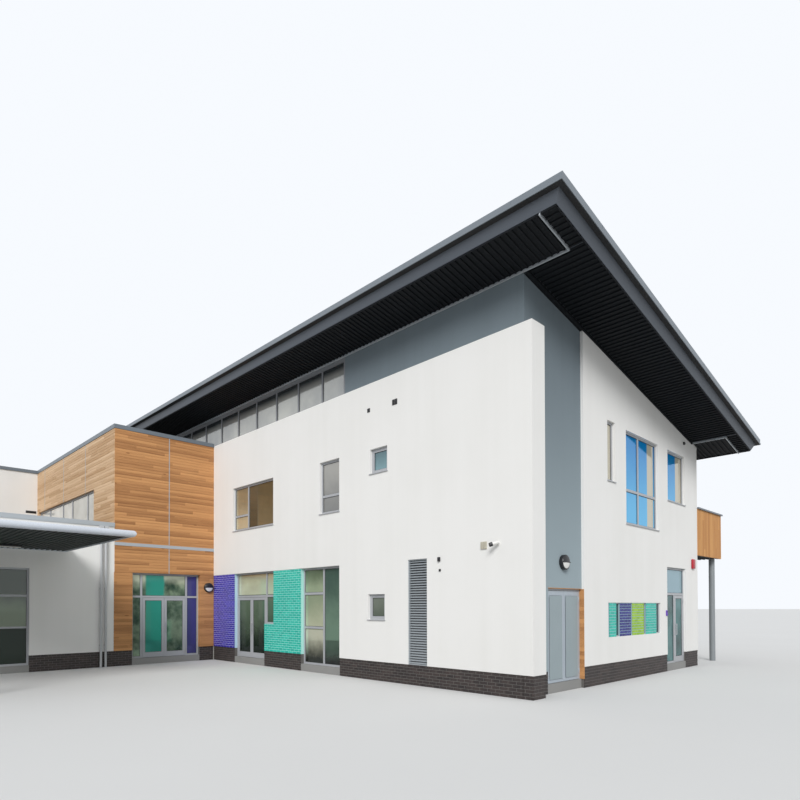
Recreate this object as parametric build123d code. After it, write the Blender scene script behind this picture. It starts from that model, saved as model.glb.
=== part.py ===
from build123d import *
import math
import os

# A two-storey school building with a steep monopitch roof, a timber-clad flat-roofed block,
# a rendered wing and a single-storey block with a play canopy. Millimetres, +Z up.
# X runs along the long front, Y from the front to the back, and Z = 0 is the ground at the
# foot of the plinth. The origin is on the underside of the floor slab, at the column grid point
# nearest the corner of the front and the gable.

# Levels above the ground
FLOOR_LEVEL = 220
PLINTH_TOP = 300
FIRST_FLOOR = 3600
FLOOR_THICK = 350
RECESS_HEAD = 3010
WHITE_TOP = 8000

# Walls
WALL = 300
RENDER_PROUD = 20
GRID_IN = 1500
CORNER_X = GRID_IN
CORNER_Y = -GRID_IN

# Main building, measured from the corner of the white front wall
BAR_LENGTH = 30000
WHITE_LENGTH = 14270
RECESS_NEAR = 6580
RETURN_DEPTH = 507
GREY_GABLE_SET = 270
WHITE_GABLE_SET = 200
GREY_FRONT_SET = 120
GREY_STRIP_END = 2600
GABLE_LENGTH = 10470

# Monopitch roof
ROOF_FALL = 0.191
SOFFIT_LEVEL = 9200
GABLE_OVERHANG = 1200
FRONT_OVERHANG = 1020
REAR_OVERHANG = 980
FASCIA_LEAN = 95
FASCIA_RISE = 235
EDGE_STEP = 130
EDGE_HEIGHT = 180
EDGE_LIP = 50
EDGE_LIP_PROUD = 15

# Folded sheets and trims of the soffit
SOFFIT_SHEET = 6
FOLD_PITCH = 600
FOLD_DEPTH = 30
SHEET_GAP = 10
TRIM_WIDTH = 30
TRIM_DROP = 60
HEAD_TRIM_DROP = 80
SOFFIT_BORDER = 350
REAR_TRIM_SET = 400
REAR_TRIM_CLEAR = 20

# Clerestory
CLERESTORY_NEAR = 6450
CLERESTORY_FIRST = 1100
CLERESTORY_PITCH = 1267
CLERESTORY_HEAD = 9020

# Timber-clad block, wing and low block
BLOCK_DEPTH = 3640
BLOCK_LENGTH = 9870
PARAPET_TOP = 7960
LOW_PARAPET_TOP = 4550
COPING_HEIGHT = 140
COPING_OVERHANG = 35
WING_DEPTH = 11500
FLAT_ROOF = 300
FLAT_ROOF_DROP = 420
BAND_LEVEL = 3930
BAND_HEIGHT = 110
BAND_PROUD = 30
STRIP_WIDTH = 25
STRIP_PROUD = 22
SIDE_STRIP = 1750
FRONT_STRIPS = [3060, 5820, 8610]

# Play canopy
CANOPY_START = 5050
CANOPY_DEPTH = 5700
CANOPY_SOFFIT = 3600
CANOPY_THICK = 170
CANOPY_RIM = 120
CANOPY_POCKET = 40
CANOPY_POST_SET = 500
CANOPY_POST_FIRST = 3600
POST_RADIUS = 100

# Balcony behind the gable
BALCONY_DEPTH = 2440
BALCONY_LENGTH = 8000
BALCONY_UNDER = 3530
BALCONY_DECK = 280
BALCONY_TOP = 5170
BALCONY_CAP = 50
BALCONY_CAP_OUT = 60
BOARD_THICK = 60
DECK_RIB_DEPTH = 70
DECK_RIB_WIDTH = 60
DECK_RIB_PITCH = 150
BALCONY_POST_SET = 260
BALCONY_POST_BACK = 190

# Joinery
FRAME = 60
SASH_FRAME = 95
FRAME_DEPTH = 75
REVEAL = 75
PANE = 24
MULLION = 70
LEAF_GAP = 8
LEAF_STILE = 90
LEAF_DEPTH = 55
SOLID_LEAF = 45
BARREL_SET = 10
BARREL_SIDES = 12
BARREL_RADIUS = 10.4
BARREL_HEIGHT = 60
BARREL_RUN = 0.3
HINGE_PLATE = 3
HINGE_PLATE_WIDTH = 32
HINGE_END = 200
HANDLE_WIDTH = 22
HANDLE_OUT = 60
HANDLE_LOW = 880
HANDLE_HIGH = 1230
LEAF_PANEL_SIDE = 70
LEAF_PANEL_TOP = 110
LEAF_PANEL_DEEP = 8
SILL_THICK = 20
SILL_PROUD = 30
SILL_END = 25
PANEL_SET = 15
PANEL_THICK = 110
SCREEN_SET = 130
JOINT = 10
SCREEN_HEAD = 3010
TRANSOM_LOW = 2140
TRANSOM_HIGH = 2210

# Places of the doors and rails in their screens
SIDE_SILL = 1220
SIDE_LIGHT_END = 10740
SCREEN_2_MULLION = 7490
SCREEN_2_RAIL = 1150
PLAY_DOOR_START = 1070
PLAY_DOOR_END = 2650
GABLE_LEAF_START = 8600

# Ribbon of coloured panels and narrow lights: the width of each panel and of the light after it
RIBBON_SET = 40
RIBBON_RAIL = 30
RIBBON_END = 80
RIBBON_STEPS = [(400, 220), (690, 70), (780, 140), (745, 240)]

# Louvre
LOUVRE_SET = 20
LOUVRE_FRAME = 25
LOUVRE_PITCH = 95
LOUVRE_BLADE = 90
LOUVRE_THICK = 4
LOUVRE_TILT = 40
LOUVRE_HOUSING = 1

# Wall lights, fittings and downpipes
LIGHT_RADIUS = 180
LIGHT_DEPTH = 105
LIGHT_RIM = 30
LIGHT_HOOD = 25
PIPE_RADIUS = 38
PIPE_SIDES = 16
PIPE_OFF = 45
PIPE_PLACES = [3940, 4090]
PIPE_CLIPS = [500, 2400]
CLIP_HEIGHT = 40
CLIP_WIDTH = 60
HOPPER_HEIGHT = 160
HOPPER_WIDTH = 130
CANOPY_LAMP = (560, 190, 80)
CANOPY_LAMP_OUT = 1330
CANOPY_LAMP_ALONG = 6950


class Face:
    """An upright outer face: where it starts, the way it runs and the way in."""

    def __init__(self, x, y, run, inward):
        self.x = x
        self.y = y
        self.run = run
        self.inward = inward

    def at(self, along, depth):
        """The plan position this far along the face and this deep behind it."""
        x = self.x + self.run[0] * along + self.inward[0] * depth
        y = self.y + self.run[1] * along + self.inward[1] * depth
        return x, y

    def block(self, start, end, low, high, outer=0, inner=WALL):
        """A block between two places along the face, two heights and two depths."""
        xa, ya = self.at(start, outer)
        xb, yb = self.at(end, inner)
        size = Box(abs(xb - xa), abs(yb - ya), high - low)
        return Pos((xa + xb) / 2, (ya + yb) / 2, FLOOR_LEVEL + (low + high) / 2) * size


class Opening:
    """A hole through a wall: near and far edge along the face, sill and head.

    A mullion is its place along the face. A transom is its height and the column of lights,
    counted from the near edge, that it parts. The border is the width of the frame all round.
    """

    def __init__(self, near, far, sill, head, mullions=(), transoms=(), sill_board=True, border=FRAME):
        self.near = near
        self.far = far
        self.sill = sill
        self.head = head
        self.mullions = mullions
        self.transoms = transoms
        self.sill_board = sill_board
        self.border = border


FRONT = Face(CORNER_X, CORNER_Y, (-1, 0), (0, 1))
GABLE = Face(CORNER_X - WHITE_GABLE_SET, CORNER_Y, (0, 1), (-1, 0))
GREY_GABLE = Face(CORNER_X - GREY_GABLE_SET, CORNER_Y, (0, 1), (-1, 0))
REAR = Face(CORNER_X - WHITE_GABLE_SET, CORNER_Y + GABLE_LENGTH, (-1, 0), (0, -1))
WEST = Face(CORNER_X - BAR_LENGTH, CORNER_Y + GABLE_LENGTH, (0, -1), (1, 0))
BLOCK_SIDE = Face(CORNER_X - WHITE_LENGTH, CORNER_Y, (0, -1), (-1, 0))
BLOCK_FRONT = Face(CORNER_X - WHITE_LENGTH, CORNER_Y - BLOCK_DEPTH, (-1, 0), (0, 1))
WING_SIDE = Face(CORNER_X - WHITE_LENGTH - BLOCK_LENGTH, CORNER_Y, (0, -1), (-1, 0))
LEFT_FRONT = Face(CORNER_X - WHITE_LENGTH, CORNER_Y - WING_DEPTH, (-1, 0), (0, 1))

REAR_RUN = BAR_LENGTH - WHITE_GABLE_SET
LEFT_RUN = BAR_LENGTH - WHITE_LENGTH
CLERESTORY_FAR = BAR_LENGTH - WALL
TALL = SOFFIT_LEVEL + 2 * WALL

SCREEN_1 = Opening(10100, 12680, 0, SCREEN_HEAD, sill_board=False)
SCREEN_2 = Opening(RECESS_NEAR, 8530, 0, SCREEN_HEAD, sill_board=False)
FRONT_WINDOWS = [
    Opening(10100, 12770, 4570, 6150, mullions=[11820], transoms=[(5100, 1)]),
    Opening(6580, 7520, 4610, 6180, transoms=[(5140, 0)]),
    Opening(4530, 5220, 5470, 6150, border=SASH_FRAME),
]
FRONT_LOW_WINDOW = Opening(4640, 5310, 1440, 2140, border=SASH_FRAME)
LOUVRE = Opening(3090, 3760, PLINTH_TOP, RECESS_HEAD, sill_board=False)
GABLE_WINDOWS = [
    Opening(3890, 4330, 5120, 6720),
    Opening(5000, 7200, 4080, 6680, mullions=[5940], transoms=[(5045, 0), (5045, 1)]),
]
OVER_DOOR_WINDOW = Opening(7930, 9360, 5090, 6680)
RIBBON = Opening(3880, 7320, 980, 1890)
GABLE_DOOR = Opening(7830, 9370, 0, SCREEN_HEAD, sill_board=False)
SERVICE_DOOR = Opening(1040, GREY_STRIP_END, 0, 2230, sill_board=False)
BLOCK_DOOR = Opening(560, 3040, 0, SCREEN_HEAD, sill_board=False)
BLOCK_WINDOW_MULLIONS = [3100, 4980, 6240, 8120]
BLOCK_WINDOW_START = 2100
BLOCK_WINDOW_END = 240
BLOCK_WINDOW_SILL = 4900
BLOCK_WINDOW_HEAD = 6140
BLOCK_WINDOW = Opening(
    BLOCK_WINDOW_START, BLOCK_LENGTH - BLOCK_WINDOW_END, BLOCK_WINDOW_SILL, BLOCK_WINDOW_HEAD,
    BLOCK_WINDOW_MULLIONS
)
LOW_SIDE_WINDOW = Opening(6160, 9460, 0, 3030, mullions=[7260, 8360], sill_board=False)

# Plain window rows of the sides that the other windows repeat
ROW_WIDTH = 1800
ROW_PITCH = 3700
UPPER_ROW = 4570, 6150
LOWER_ROW = 1000, 2600
LOW_FRONT_PITCH = 3000
WING_WINDOW_IN = 2030
WEST_WINDOW_IN = 3200
WING_WEST_WINDOW_IN = 1830


def window_row(first, count, levels, pitch=ROW_PITCH):
    """Like windows at an even pitch along a face."""
    rows = []
    for i in range(count):
        near = first + i * pitch
        rows.append(Opening(near, near + ROW_WIDTH, *levels, mullions=[near + ROW_WIDTH / 2]))
    return rows


def both_rows(first, count):
    """Windows one over the other on both storeys."""
    return window_row(first, count, UPPER_ROW) + window_row(first, count, LOWER_ROW)


REAR_WINDOWS = window_row(9600, 5, UPPER_ROW) + window_row(2100, 7, LOWER_ROW)
BALCONY_DOOR = Opening(2700, 6300, 3900, 6150, mullions=[3900, 5100], sill_board=False)
WEST_WINDOWS = both_rows(WEST_WINDOW_IN, 2)
WING_FRONT_WINDOWS = both_rows(BLOCK_LENGTH + WING_WINDOW_IN, 1)
LOW_FRONT_WINDOWS = window_row(1500, 3, LOWER_ROW, LOW_FRONT_PITCH)
WING_WEST_WINDOWS = both_rows(GABLE_LENGTH + WING_WEST_WINDOW_IN, 2)

# Small fittings: face, place along it, height, width, tallness and how far each stands out
FITTINGS = [
    (FRONT, 5270, 7260, 110, 110, 20),
    (FRONT, 4230, 7240, 200, 150, 20),
    (FRONT, 1300, 3200, 170, 170, 40),
    (FRONT, 960, 3200, 250, 130, 110),
    (FRONT, 2670, 2960, 80, 110, 60),
    (FRONT, 2650, 2690, 60, 60, 20),
    (GABLE, 9990, 3200, 240, 320, 90),
    (GABLE, 7750, 1580, 100, 170, 40),
    (GABLE, 9280, 7120, 90, 90, 70),
    (WING_SIDE, 3910, 6170, 420, 110, 20),
]
WALL_LIGHTS = [(GREY_GABLE, 1710, 2840), (BLOCK_SIDE, 225, 2540)]


def cut(solid, face, openings, deep=WALL):
    """The solid with each opening cut through it."""
    for o in openings:
        solid -= face.block(o.near, o.far, o.sill, o.head, outer=-deep, inner=2 * deep)
    return solid


def roof_plane():
    """The sloping plane of the soffit, level along X and falling to the back."""
    tilt = math.atan(ROOF_FALL)
    start = (CORNER_X - GREY_GABLE_SET, CORNER_Y + GREY_FRONT_SET, FLOOR_LEVEL + SOFFIT_LEVEL)
    return Plane(origin=start, x_dir=(1, 0, 0), z_dir=(0, math.sin(tilt), math.cos(tilt)))


def under_roof(solid):
    """The part of a solid that lies below the soffit plane."""
    reach = 2 * BAR_LENGTH
    above = roof_plane() * Pos(0, 0, reach / 2) * Box(2 * reach, reach, reach)
    return solid - above


# Floors and plinth
def threshold(face, near, far):
    """The slab's edge under a doorway or a full-height screen."""
    return face.block(near, far, -FLOOR_LEVEL, 0, RENDER_PROUD, WALL)


def main_floor(low, high):
    """A floor of the main building between its walls, wider behind the white gable wall."""
    back = GABLE_LENGTH - WALL
    floor = FRONT.block(GREY_GABLE_SET + WALL, BAR_LENGTH - WALL, low, high, WALL, back)
    return floor + GABLE.block(GREY_STRIP_END, back, low, high, WALL, 2 * WALL)


def ground_slab():
    """The floor slabs of the main building and of the blocks beside it, parted by the wall between."""
    main = main_floor(-FLOOR_LEVEL, 0)
    main += threshold(FRONT, SIDE_LIGHT_END - MULLION, SCREEN_1.far)
    for face, o in ((FRONT, SCREEN_2), (GABLE, GABLE_DOOR), (GREY_GABLE, SERVICE_DOOR)):
        main += threshold(face, o.near, o.far)
    left = LEFT_FRONT.block(WALL, LEFT_RUN - WALL, -FLOOR_LEVEL, 0, WALL, WING_DEPTH - JOINT)
    for o in (BLOCK_DOOR, LOW_SIDE_WINDOW):
        left += threshold(BLOCK_SIDE, o.near, o.far)
    return [main, left]


def first_floor():
    low = FIRST_FLOOR - FLOOR_THICK
    block = BLOCK_FRONT.block(WALL, BLOCK_LENGTH, low, FIRST_FLOOR, WALL, BLOCK_DEPTH)
    wing = LEFT_FRONT.block(BLOCK_LENGTH + WALL, LEFT_RUN - WALL, low, FIRST_FLOOR, WALL, WING_DEPTH)
    return [main_floor(low, FIRST_FLOOR), block, wing]


def plinth_run(face, start, end, gaps=()):
    """A straight run of plinth brickwork, open at the doors."""
    runs = []
    at = start + JOINT
    for near, far in sorted(gaps):
        runs.append((at, near))
        at = far
    runs.append((at, end - JOINT))
    return [face.block(a, b, -FLOOR_LEVEL, PLINTH_TOP, RENDER_PROUD, WALL) for a, b in runs]


def brick_plinth():
    screens = (SIDE_LIGHT_END - MULLION, SCREEN_1.far), (SCREEN_2.near, SCREEN_2.far)
    block_gaps = [(o.near, o.far) for o in (BLOCK_DOOR, LOW_SIDE_WINDOW)]
    pieces = plinth_run(FRONT, GREY_GABLE_SET, WHITE_LENGTH, screens)
    pieces += plinth_run(GABLE, GREY_STRIP_END, GABLE_LENGTH, [(GABLE_DOOR.near, GABLE_DOOR.far)])
    pieces += plinth_run(REAR, WALL, REAR_RUN)
    pieces += plinth_run(WEST, WALL, GABLE_LENGTH + WING_DEPTH - WALL)
    pieces += plinth_run(LEFT_FRONT, 0, LEFT_RUN)
    pieces += plinth_run(BLOCK_SIDE, 0, WING_DEPTH - WALL, block_gaps)
    pieces += plinth_run(GREY_GABLE, WALL, SERVICE_DOOR.near + JOINT)
    return pieces


# Main building
def front_wall_upper():
    wall = FRONT.block(GREY_GABLE_SET, WHITE_LENGTH, RECESS_HEAD, WHITE_TOP)
    return [cut(wall, FRONT, FRONT_WINDOWS)]


def front_wall_lower():
    wall = FRONT.block(GREY_GABLE_SET, RECESS_NEAR, PLINTH_TOP, RECESS_HEAD)
    return [cut(wall, FRONT, [FRONT_LOW_WINDOW, LOUVRE])]


def corner_pier():
    return [FRONT.block(0, GREY_GABLE_SET, PLINTH_TOP, WHITE_TOP, 0, RETURN_DEPTH)]


def corner_plinth():
    return FRONT.block(RENDER_PROUD, GREY_GABLE_SET, -FLOOR_LEVEL, PLINTH_TOP, RENDER_PROUD, RETURN_DEPTH)


def bar_inner_wall():
    return [FRONT.block(WHITE_LENGTH, BAR_LENGTH - WALL, -FLOOR_LEVEL, WHITE_TOP)]


def grey_wall_front():
    wall = FRONT.block(GREY_GABLE_SET, CLERESTORY_NEAR, WHITE_TOP, TALL, GREY_FRONT_SET, WALL)
    return [under_roof(wall)]


def grey_gable_pier():
    return [under_roof(GREY_GABLE.block(WALL, SERVICE_DOOR.near, PLINTH_TOP, TALL))]


def grey_gable_lintel():
    return [under_roof(GREY_GABLE.block(SERVICE_DOOR.near, GREY_STRIP_END, SERVICE_DOOR.head, TALL))]


def gable_wall():
    main = GABLE.block(GREY_STRIP_END, GABLE_DOOR.near, PLINTH_TOP, TALL)
    end = GABLE.block(GABLE_DOOR.far, GABLE_LENGTH, PLINTH_TOP, TALL)
    main = cut(main, GABLE, GABLE_WINDOWS + [RIBBON])
    return [under_roof(main), under_roof(end)]


def gable_wall_over_door():
    wall = GABLE.block(GABLE_DOOR.near, GABLE_DOOR.far, GABLE_DOOR.head, TALL)
    return [under_roof(cut(wall, GABLE, [OVER_DOOR_WINDOW]))]


def rear_wall():
    wall = REAR.block(WALL, REAR_RUN - WALL, PLINTH_TOP, TALL)
    return [under_roof(cut(wall, REAR, REAR_WINDOWS + [BALCONY_DOOR]))]


def west_wall():
    wall = WEST.block(0, GABLE_LENGTH, PLINTH_TOP, TALL)
    wall -= FRONT.block(BAR_LENGTH - WALL, BAR_LENGTH, WHITE_TOP, TALL, 0, GREY_FRONT_SET)
    return [under_roof(cut(wall, WEST, WEST_WINDOWS))]


def clerestory_mullions():
    """The centre of each upright of the clerestory: a first bay, then an even pitch."""
    first = CLERESTORY_NEAR + CLERESTORY_FIRST
    bays = int((CLERESTORY_FAR - first) / CLERESTORY_PITCH)
    inner = [first + i * CLERESTORY_PITCH for i in range(bays + 1)]
    return [CLERESTORY_NEAR] + inner + [CLERESTORY_FAR]


def clerestory_frame():
    """One long frame under the soffit, with a sill, a head and uprights."""
    inner = GREY_FRONT_SET + FRAME_DEPTH
    frame = FRONT.block(CLERESTORY_NEAR, CLERESTORY_FAR, WHITE_TOP, TALL, GREY_FRONT_SET, inner)
    for low, high in clerestory_lights():
        frame -= FRONT.block(low, high, WHITE_TOP + FRAME, CLERESTORY_HEAD, 0, WALL)
    return [under_roof(frame)]


def clerestory_lights():
    """The near and far edge of each clerestory light."""
    uprights = clerestory_mullions()
    half = MULLION / 2
    edges = []
    for a, b in zip(uprights, uprights[1:]):
        near = a + (FRAME if a == uprights[0] else half)
        far = b - (FRAME if b == uprights[-1] else half)
        edges.append((near, far))
    return edges


def clerestory_glass():
    lights = [(near, far, WHITE_TOP + FRAME, CLERESTORY_HEAD) for near, far in clerestory_lights()]
    return glass_in(FRONT, lights, GREY_FRONT_SET)


# Roof
def roof_outline(grow):
    """The rectangle of the roof, grown by this much past the soffit edge, in the roof plane."""
    slope = math.hypot(1, ROOF_FALL)
    x0 = -(BAR_LENGTH - GREY_GABLE_SET) - GABLE_OVERHANG - grow
    x1 = GABLE_OVERHANG + GREY_GABLE_SET + grow
    y0 = -(FRONT_OVERHANG + GREY_FRONT_SET) * slope - grow
    y1 = (GABLE_LENGTH - GREY_FRONT_SET + REAR_OVERHANG) * slope + grow
    return x0, x1, y0, y1


def roof_rectangle(grow, height):
    x0, x1, y0, y1 = roof_outline(grow)
    centre = Pos((x0 + x1) / 2, (y0 + y1) / 2, height)
    return roof_plane() * centre * Rectangle(x1 - x0, y1 - y0)


def roof_deck():
    """The body of the roof, whose fascia leans outwards as it rises."""
    return [loft([roof_rectangle(0, 0), roof_rectangle(FASCIA_LEAN, FASCIA_RISE)])]


def roof_sheet():
    """The roof covering with its upright edge trim, standing past the fascia, and a lip along its foot."""
    out = FASCIA_LEAN + EDGE_STEP
    sheet = extrude(roof_rectangle(out - EDGE_LIP_PROUD, FASCIA_RISE), EDGE_HEIGHT)
    return [sheet + extrude(roof_rectangle(out, FASCIA_RISE), EDGE_LIP)]


def folded_sheet(x0, x1, y0, y1, along_x):
    """A folded sheet with a flat top at Z = 0. Its folds run along X, or else along Y."""
    width = y1 - y0 if along_x else x1 - x0
    run = x1 - x0 if along_x else y1 - y0
    count = max(1, round(width / FOLD_PITCH))
    pitch = width / count
    points = [(0, 0), (0, -SOFFIT_SHEET)]
    for i in range(count):
        points.append(((i + 0.5) * pitch, -SOFFIT_SHEET - FOLD_DEPTH))
        points.append(((i + 1) * pitch, -SOFFIT_SHEET))
    points.append((width, 0))
    sheet = extrude(make_face(Polyline(*points, close=True)), run)
    if along_x:
        return Pos(x0, y0, 0) * Rot(0, 0, 90) * Rot(90, 0, 0) * sheet
    return Pos(x0, y1, 0) * Rot(90, 0, 0) * sheet


def wall_lines():
    """The west, east and rear wall faces and the trim before the rear corner, in the roof plane."""
    slope = math.hypot(1, ROOF_FALL)
    west = GREY_GABLE_SET - BAR_LENGTH
    east = GREY_GABLE_SET - WHITE_GABLE_SET
    rear = (GABLE_LENGTH - GREY_FRONT_SET) * slope
    return west, east, rear, rear - REAR_TRIM_SET * slope


def roof_soffit():
    """Folded sheets under the four overhangs, with their folds square to the walls."""
    x0, x1, y0, y1 = roof_outline(0)
    west, east, rear, trim = wall_lines()
    gap = SHEET_GAP
    step = TRIM_WIDTH + gap
    inner0 = x0 + SOFFIT_BORDER + step
    inner1 = x1 - SOFFIT_BORDER - step
    sheets = [
        folded_sheet(inner0, inner1, y0 + gap, -step, False),
        folded_sheet(west, east, rear + REAR_TRIM_CLEAR + step, y1 - gap, False),
    ]
    for wall, edge, side in ((west, x0, -1), (east, x1, 1)):
        border = edge - side * SOFFIT_BORDER
        a, b = sorted((wall + side * step, edge - side * gap))
        c, d = sorted((border + side * gap, edge - side * gap))
        e, f = sorted((wall + side * gap, border - side * step))
        sheets.append(folded_sheet(a, b, gap, trim - step, True))
        sheets.append(folded_sheet(c, d, y0 + gap, -gap, True))
        sheets.append(folded_sheet(c, d, trim + gap, y1 - gap, True))
        sheets.append(folded_sheet(e, f, trim + gap, y1 - gap, False))
    return [roof_plane() * sheet for sheet in sheets] + head_trims()


def trim_bar(xa, xb, y0, y1, drop=TRIM_DROP):
    """A straight trim under the roof body, between two places along X and Y of the roof plane."""
    x0, x1 = sorted((xa, xb))
    middle = Pos((x0 + x1) / 2, (y0 + y1) / 2, -drop / 2)
    return roof_plane() * middle * Box(x1 - x0, y1 - y0, drop)


def head_trims():
    """The dark trims along the heads of the gable walls, deeper over the grey wall that is set back."""
    west, east, _, trim = wall_lines()
    strip = (GREY_STRIP_END - GREY_FRONT_SET) * math.hypot(1, ROOF_FALL)
    end = trim - TRIM_WIDTH
    near = trim_bar(east, east + TRIM_WIDTH, 0, end, HEAD_TRIM_DROP)
    near += trim_bar(0, east + TRIM_WIDTH, 0, strip, HEAD_TRIM_DROP)
    return [near, trim_bar(west, west - TRIM_WIDTH, 0, end, HEAD_TRIM_DROP)]


def soffit_trims():
    """The trim along the front wall head, turned to the eaves past each gable, and those at the rear."""
    x0, x1, y0, y1 = roof_outline(0)
    west, east, rear, trim = wall_lines()
    width = TRIM_WIDTH
    front = trim_bar(x0 + SOFFIT_BORDER, x1 - SOFFIT_BORDER, -width, 0)
    corners = []
    for wall, edge, side in ((west, x0, -1), (east, x1, 1)):
        border = edge - side * SOFFIT_BORDER
        front += trim_bar(border, border - side * width, y0 + SHEET_GAP, 0)
        corner = trim_bar(wall, border, trim - width, trim)
        corners.append(corner + trim_bar(border, border - side * width, trim - width, y1 - SHEET_GAP))
    clear = REAR_TRIM_CLEAR
    return [front, trim_bar(west, east, rear + clear, rear + clear + width)] + corners


# Timber block, wing and low block
def block_side_wall():
    return [BLOCK_SIDE.block(0, BLOCK_DEPTH, BLOCK_DOOR.head, PARAPET_TOP)]


def block_side_piers():
    near = BLOCK_SIDE.block(0, BLOCK_DOOR.near, PLINTH_TOP, BLOCK_DOOR.head)
    far = BLOCK_SIDE.block(BLOCK_DOOR.far, BLOCK_DEPTH, PLINTH_TOP, BLOCK_DOOR.head)
    return [near, far]


def block_front_wall():
    wall = BLOCK_FRONT.block(WALL, BLOCK_LENGTH, RECESS_HEAD, PARAPET_TOP)
    return [cut(wall, BLOCK_FRONT, [BLOCK_WINDOW])]


def wing_side_walls():
    east = WING_SIDE.block(0, WING_DEPTH, PLINTH_TOP, PARAPET_TOP)
    east += WING_SIDE.block(0, WING_DEPTH - WALL, 0, PLINTH_TOP)
    west = WEST.block(GABLE_LENGTH, GABLE_LENGTH + WING_DEPTH, PLINTH_TOP, PARAPET_TOP)
    return [east, cut(west, WEST, WING_WEST_WINDOWS)]


def left_front_walls():
    low = LEFT_FRONT.block(WALL, BLOCK_LENGTH, PLINTH_TOP, LOW_PARAPET_TOP)
    wing = LEFT_FRONT.block(BLOCK_LENGTH + WALL, LEFT_RUN - WALL, PLINTH_TOP, PARAPET_TOP)
    return [cut(low, LEFT_FRONT, LOW_FRONT_WINDOWS), cut(wing, LEFT_FRONT, WING_FRONT_WINDOWS)]


def low_block_side_wall():
    wall = BLOCK_SIDE.block(BLOCK_DEPTH, WING_DEPTH, PLINTH_TOP, LOW_PARAPET_TOP)
    return [cut(wall, BLOCK_SIDE, [LOW_SIDE_WINDOW])]


def flat_roofs():
    high = PARAPET_TOP - FLAT_ROOF_DROP
    low = LOW_PARAPET_TOP - FLAT_ROOF_DROP
    block = BLOCK_FRONT.block(WALL, BLOCK_LENGTH, high - FLAT_ROOF, high, WALL, BLOCK_DEPTH)
    wing = LEFT_FRONT.block(BLOCK_LENGTH + WALL, LEFT_RUN - WALL, high - FLAT_ROOF, high, WALL, WING_DEPTH)
    low_roof = LEFT_FRONT.block(WALL, BLOCK_LENGTH, low - FLAT_ROOF, low, WALL, WING_DEPTH - BLOCK_DEPTH)
    return [block, wing, low_roof]


def coping(face, start, end, level):
    return face.block(start, end, level, level + COPING_HEIGHT, -COPING_OVERHANG, WALL + COPING_OVERHANG)


def parapet_copings():
    """Metal cappings along the parapets, butted with a joint at each corner."""
    out = COPING_OVERHANG
    turn = WALL + COPING_OVERHANG + JOINT
    side = coping(BLOCK_SIDE, 0, BLOCK_DEPTH + out, PARAPET_TOP)
    front = coping(BLOCK_FRONT, turn, BLOCK_LENGTH - out - JOINT, PARAPET_TOP)
    wing_side = coping(WING_SIDE, 0, WING_DEPTH - turn, PARAPET_TOP)
    wing_front = coping(LEFT_FRONT, BLOCK_LENGTH - out, LEFT_RUN + out, PARAPET_TOP)
    wing_west = coping(WEST, GABLE_LENGTH, GABLE_LENGTH + WING_DEPTH - turn, PARAPET_TOP)
    low_side = coping(BLOCK_SIDE, BLOCK_DEPTH, WING_DEPTH - turn, LOW_PARAPET_TOP)
    low_front = coping(LEFT_FRONT, -out, BLOCK_LENGTH, LOW_PARAPET_TOP)
    return [side, front, wing_side, wing_front, wing_west, low_side, low_front, balcony_cap()]


def balcony_cap():
    """The flat cap that runs round the top of the balcony's boarding."""
    low = BALCONY_TOP - BALCONY_CAP
    out = BALCONY_CAP_OUT
    thick = BOARD_THICK
    cap = REAR.block(-out, BALCONY_LENGTH + out, low, BALCONY_TOP, -BALCONY_DEPTH - out, 0)
    return cap - REAR.block(thick, BALCONY_LENGTH - thick, low, BALCONY_TOP, -BALCONY_DEPTH + thick, 0)


def cladding_trims():
    """The band and the upright strips between the boards of the timber block."""
    low = BAND_LEVEL
    high = BAND_LEVEL + BAND_HEIGHT
    half = STRIP_WIDTH / 2
    near, far = SIDE_STRIP - half, SIDE_STRIP + half
    trims = [
        BLOCK_SIDE.block(0, BLOCK_DEPTH, low, high, -BAND_PROUD, 0),
        BLOCK_SIDE.block(near, far, BLOCK_DOOR.head, low - JOINT, -STRIP_PROUD, 0),
        BLOCK_SIDE.block(near, far, high + JOINT, PARAPET_TOP, -STRIP_PROUD, 0),
    ]
    for along in FRONT_STRIPS:
        low = LOW_PARAPET_TOP + COPING_HEIGHT
        for bottom, top in ((low, BLOCK_WINDOW.sill - SILL_THICK), (BLOCK_WINDOW.head, PARAPET_TOP)):
            trims.append(BLOCK_FRONT.block(along - half, along + half, bottom, top, -STRIP_PROUD, 0))
    return trims


def metal_trims():
    return soffit_trims() + cladding_trims()


# Canopy, balcony and posts
def canopy_corners():
    """The low and the high corner of the canopy in plan."""
    return BLOCK_SIDE.at(WING_DEPTH, 0) + BLOCK_SIDE.at(CANOPY_START, -CANOPY_DEPTH)


def canopy():
    """A level canopy with a half-round nosing on its three free edges and a pocket for its lining."""
    x0, y0, x1, y1 = canopy_corners()
    middle = Pos((x0 + x1) / 2, (y0 + y1) / 2, FLOOR_LEVEL + CANOPY_SOFFIT + CANOPY_THICK / 2)
    plate = middle * Box(x1 - x0, y1 - y0, CANOPY_THICK)
    free = [e for e in plate.edges() if e.center().X > x0 + 1 and abs(e.center().Z - middle.position.Z) > 1]
    plate = fillet(free, CANOPY_THICK / 2 - 1)
    pocket = Box(x1 - x0 - 2 * CANOPY_RIM, y1 - y0 - 2 * CANOPY_RIM, 2 * CANOPY_POCKET)
    return [plate - Pos((x0 + x1) / 2, (y0 + y1) / 2, FLOOR_LEVEL + CANOPY_SOFFIT) * pocket]


def canopy_posts():
    """The plan positions of the canopy's two posts."""
    out = -CANOPY_DEPTH + CANOPY_POST_SET
    alongs = CANOPY_START + CANOPY_POST_FIRST, WING_DEPTH - CANOPY_POST_SET
    return [BLOCK_SIDE.at(along, out) for along in alongs]


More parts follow.
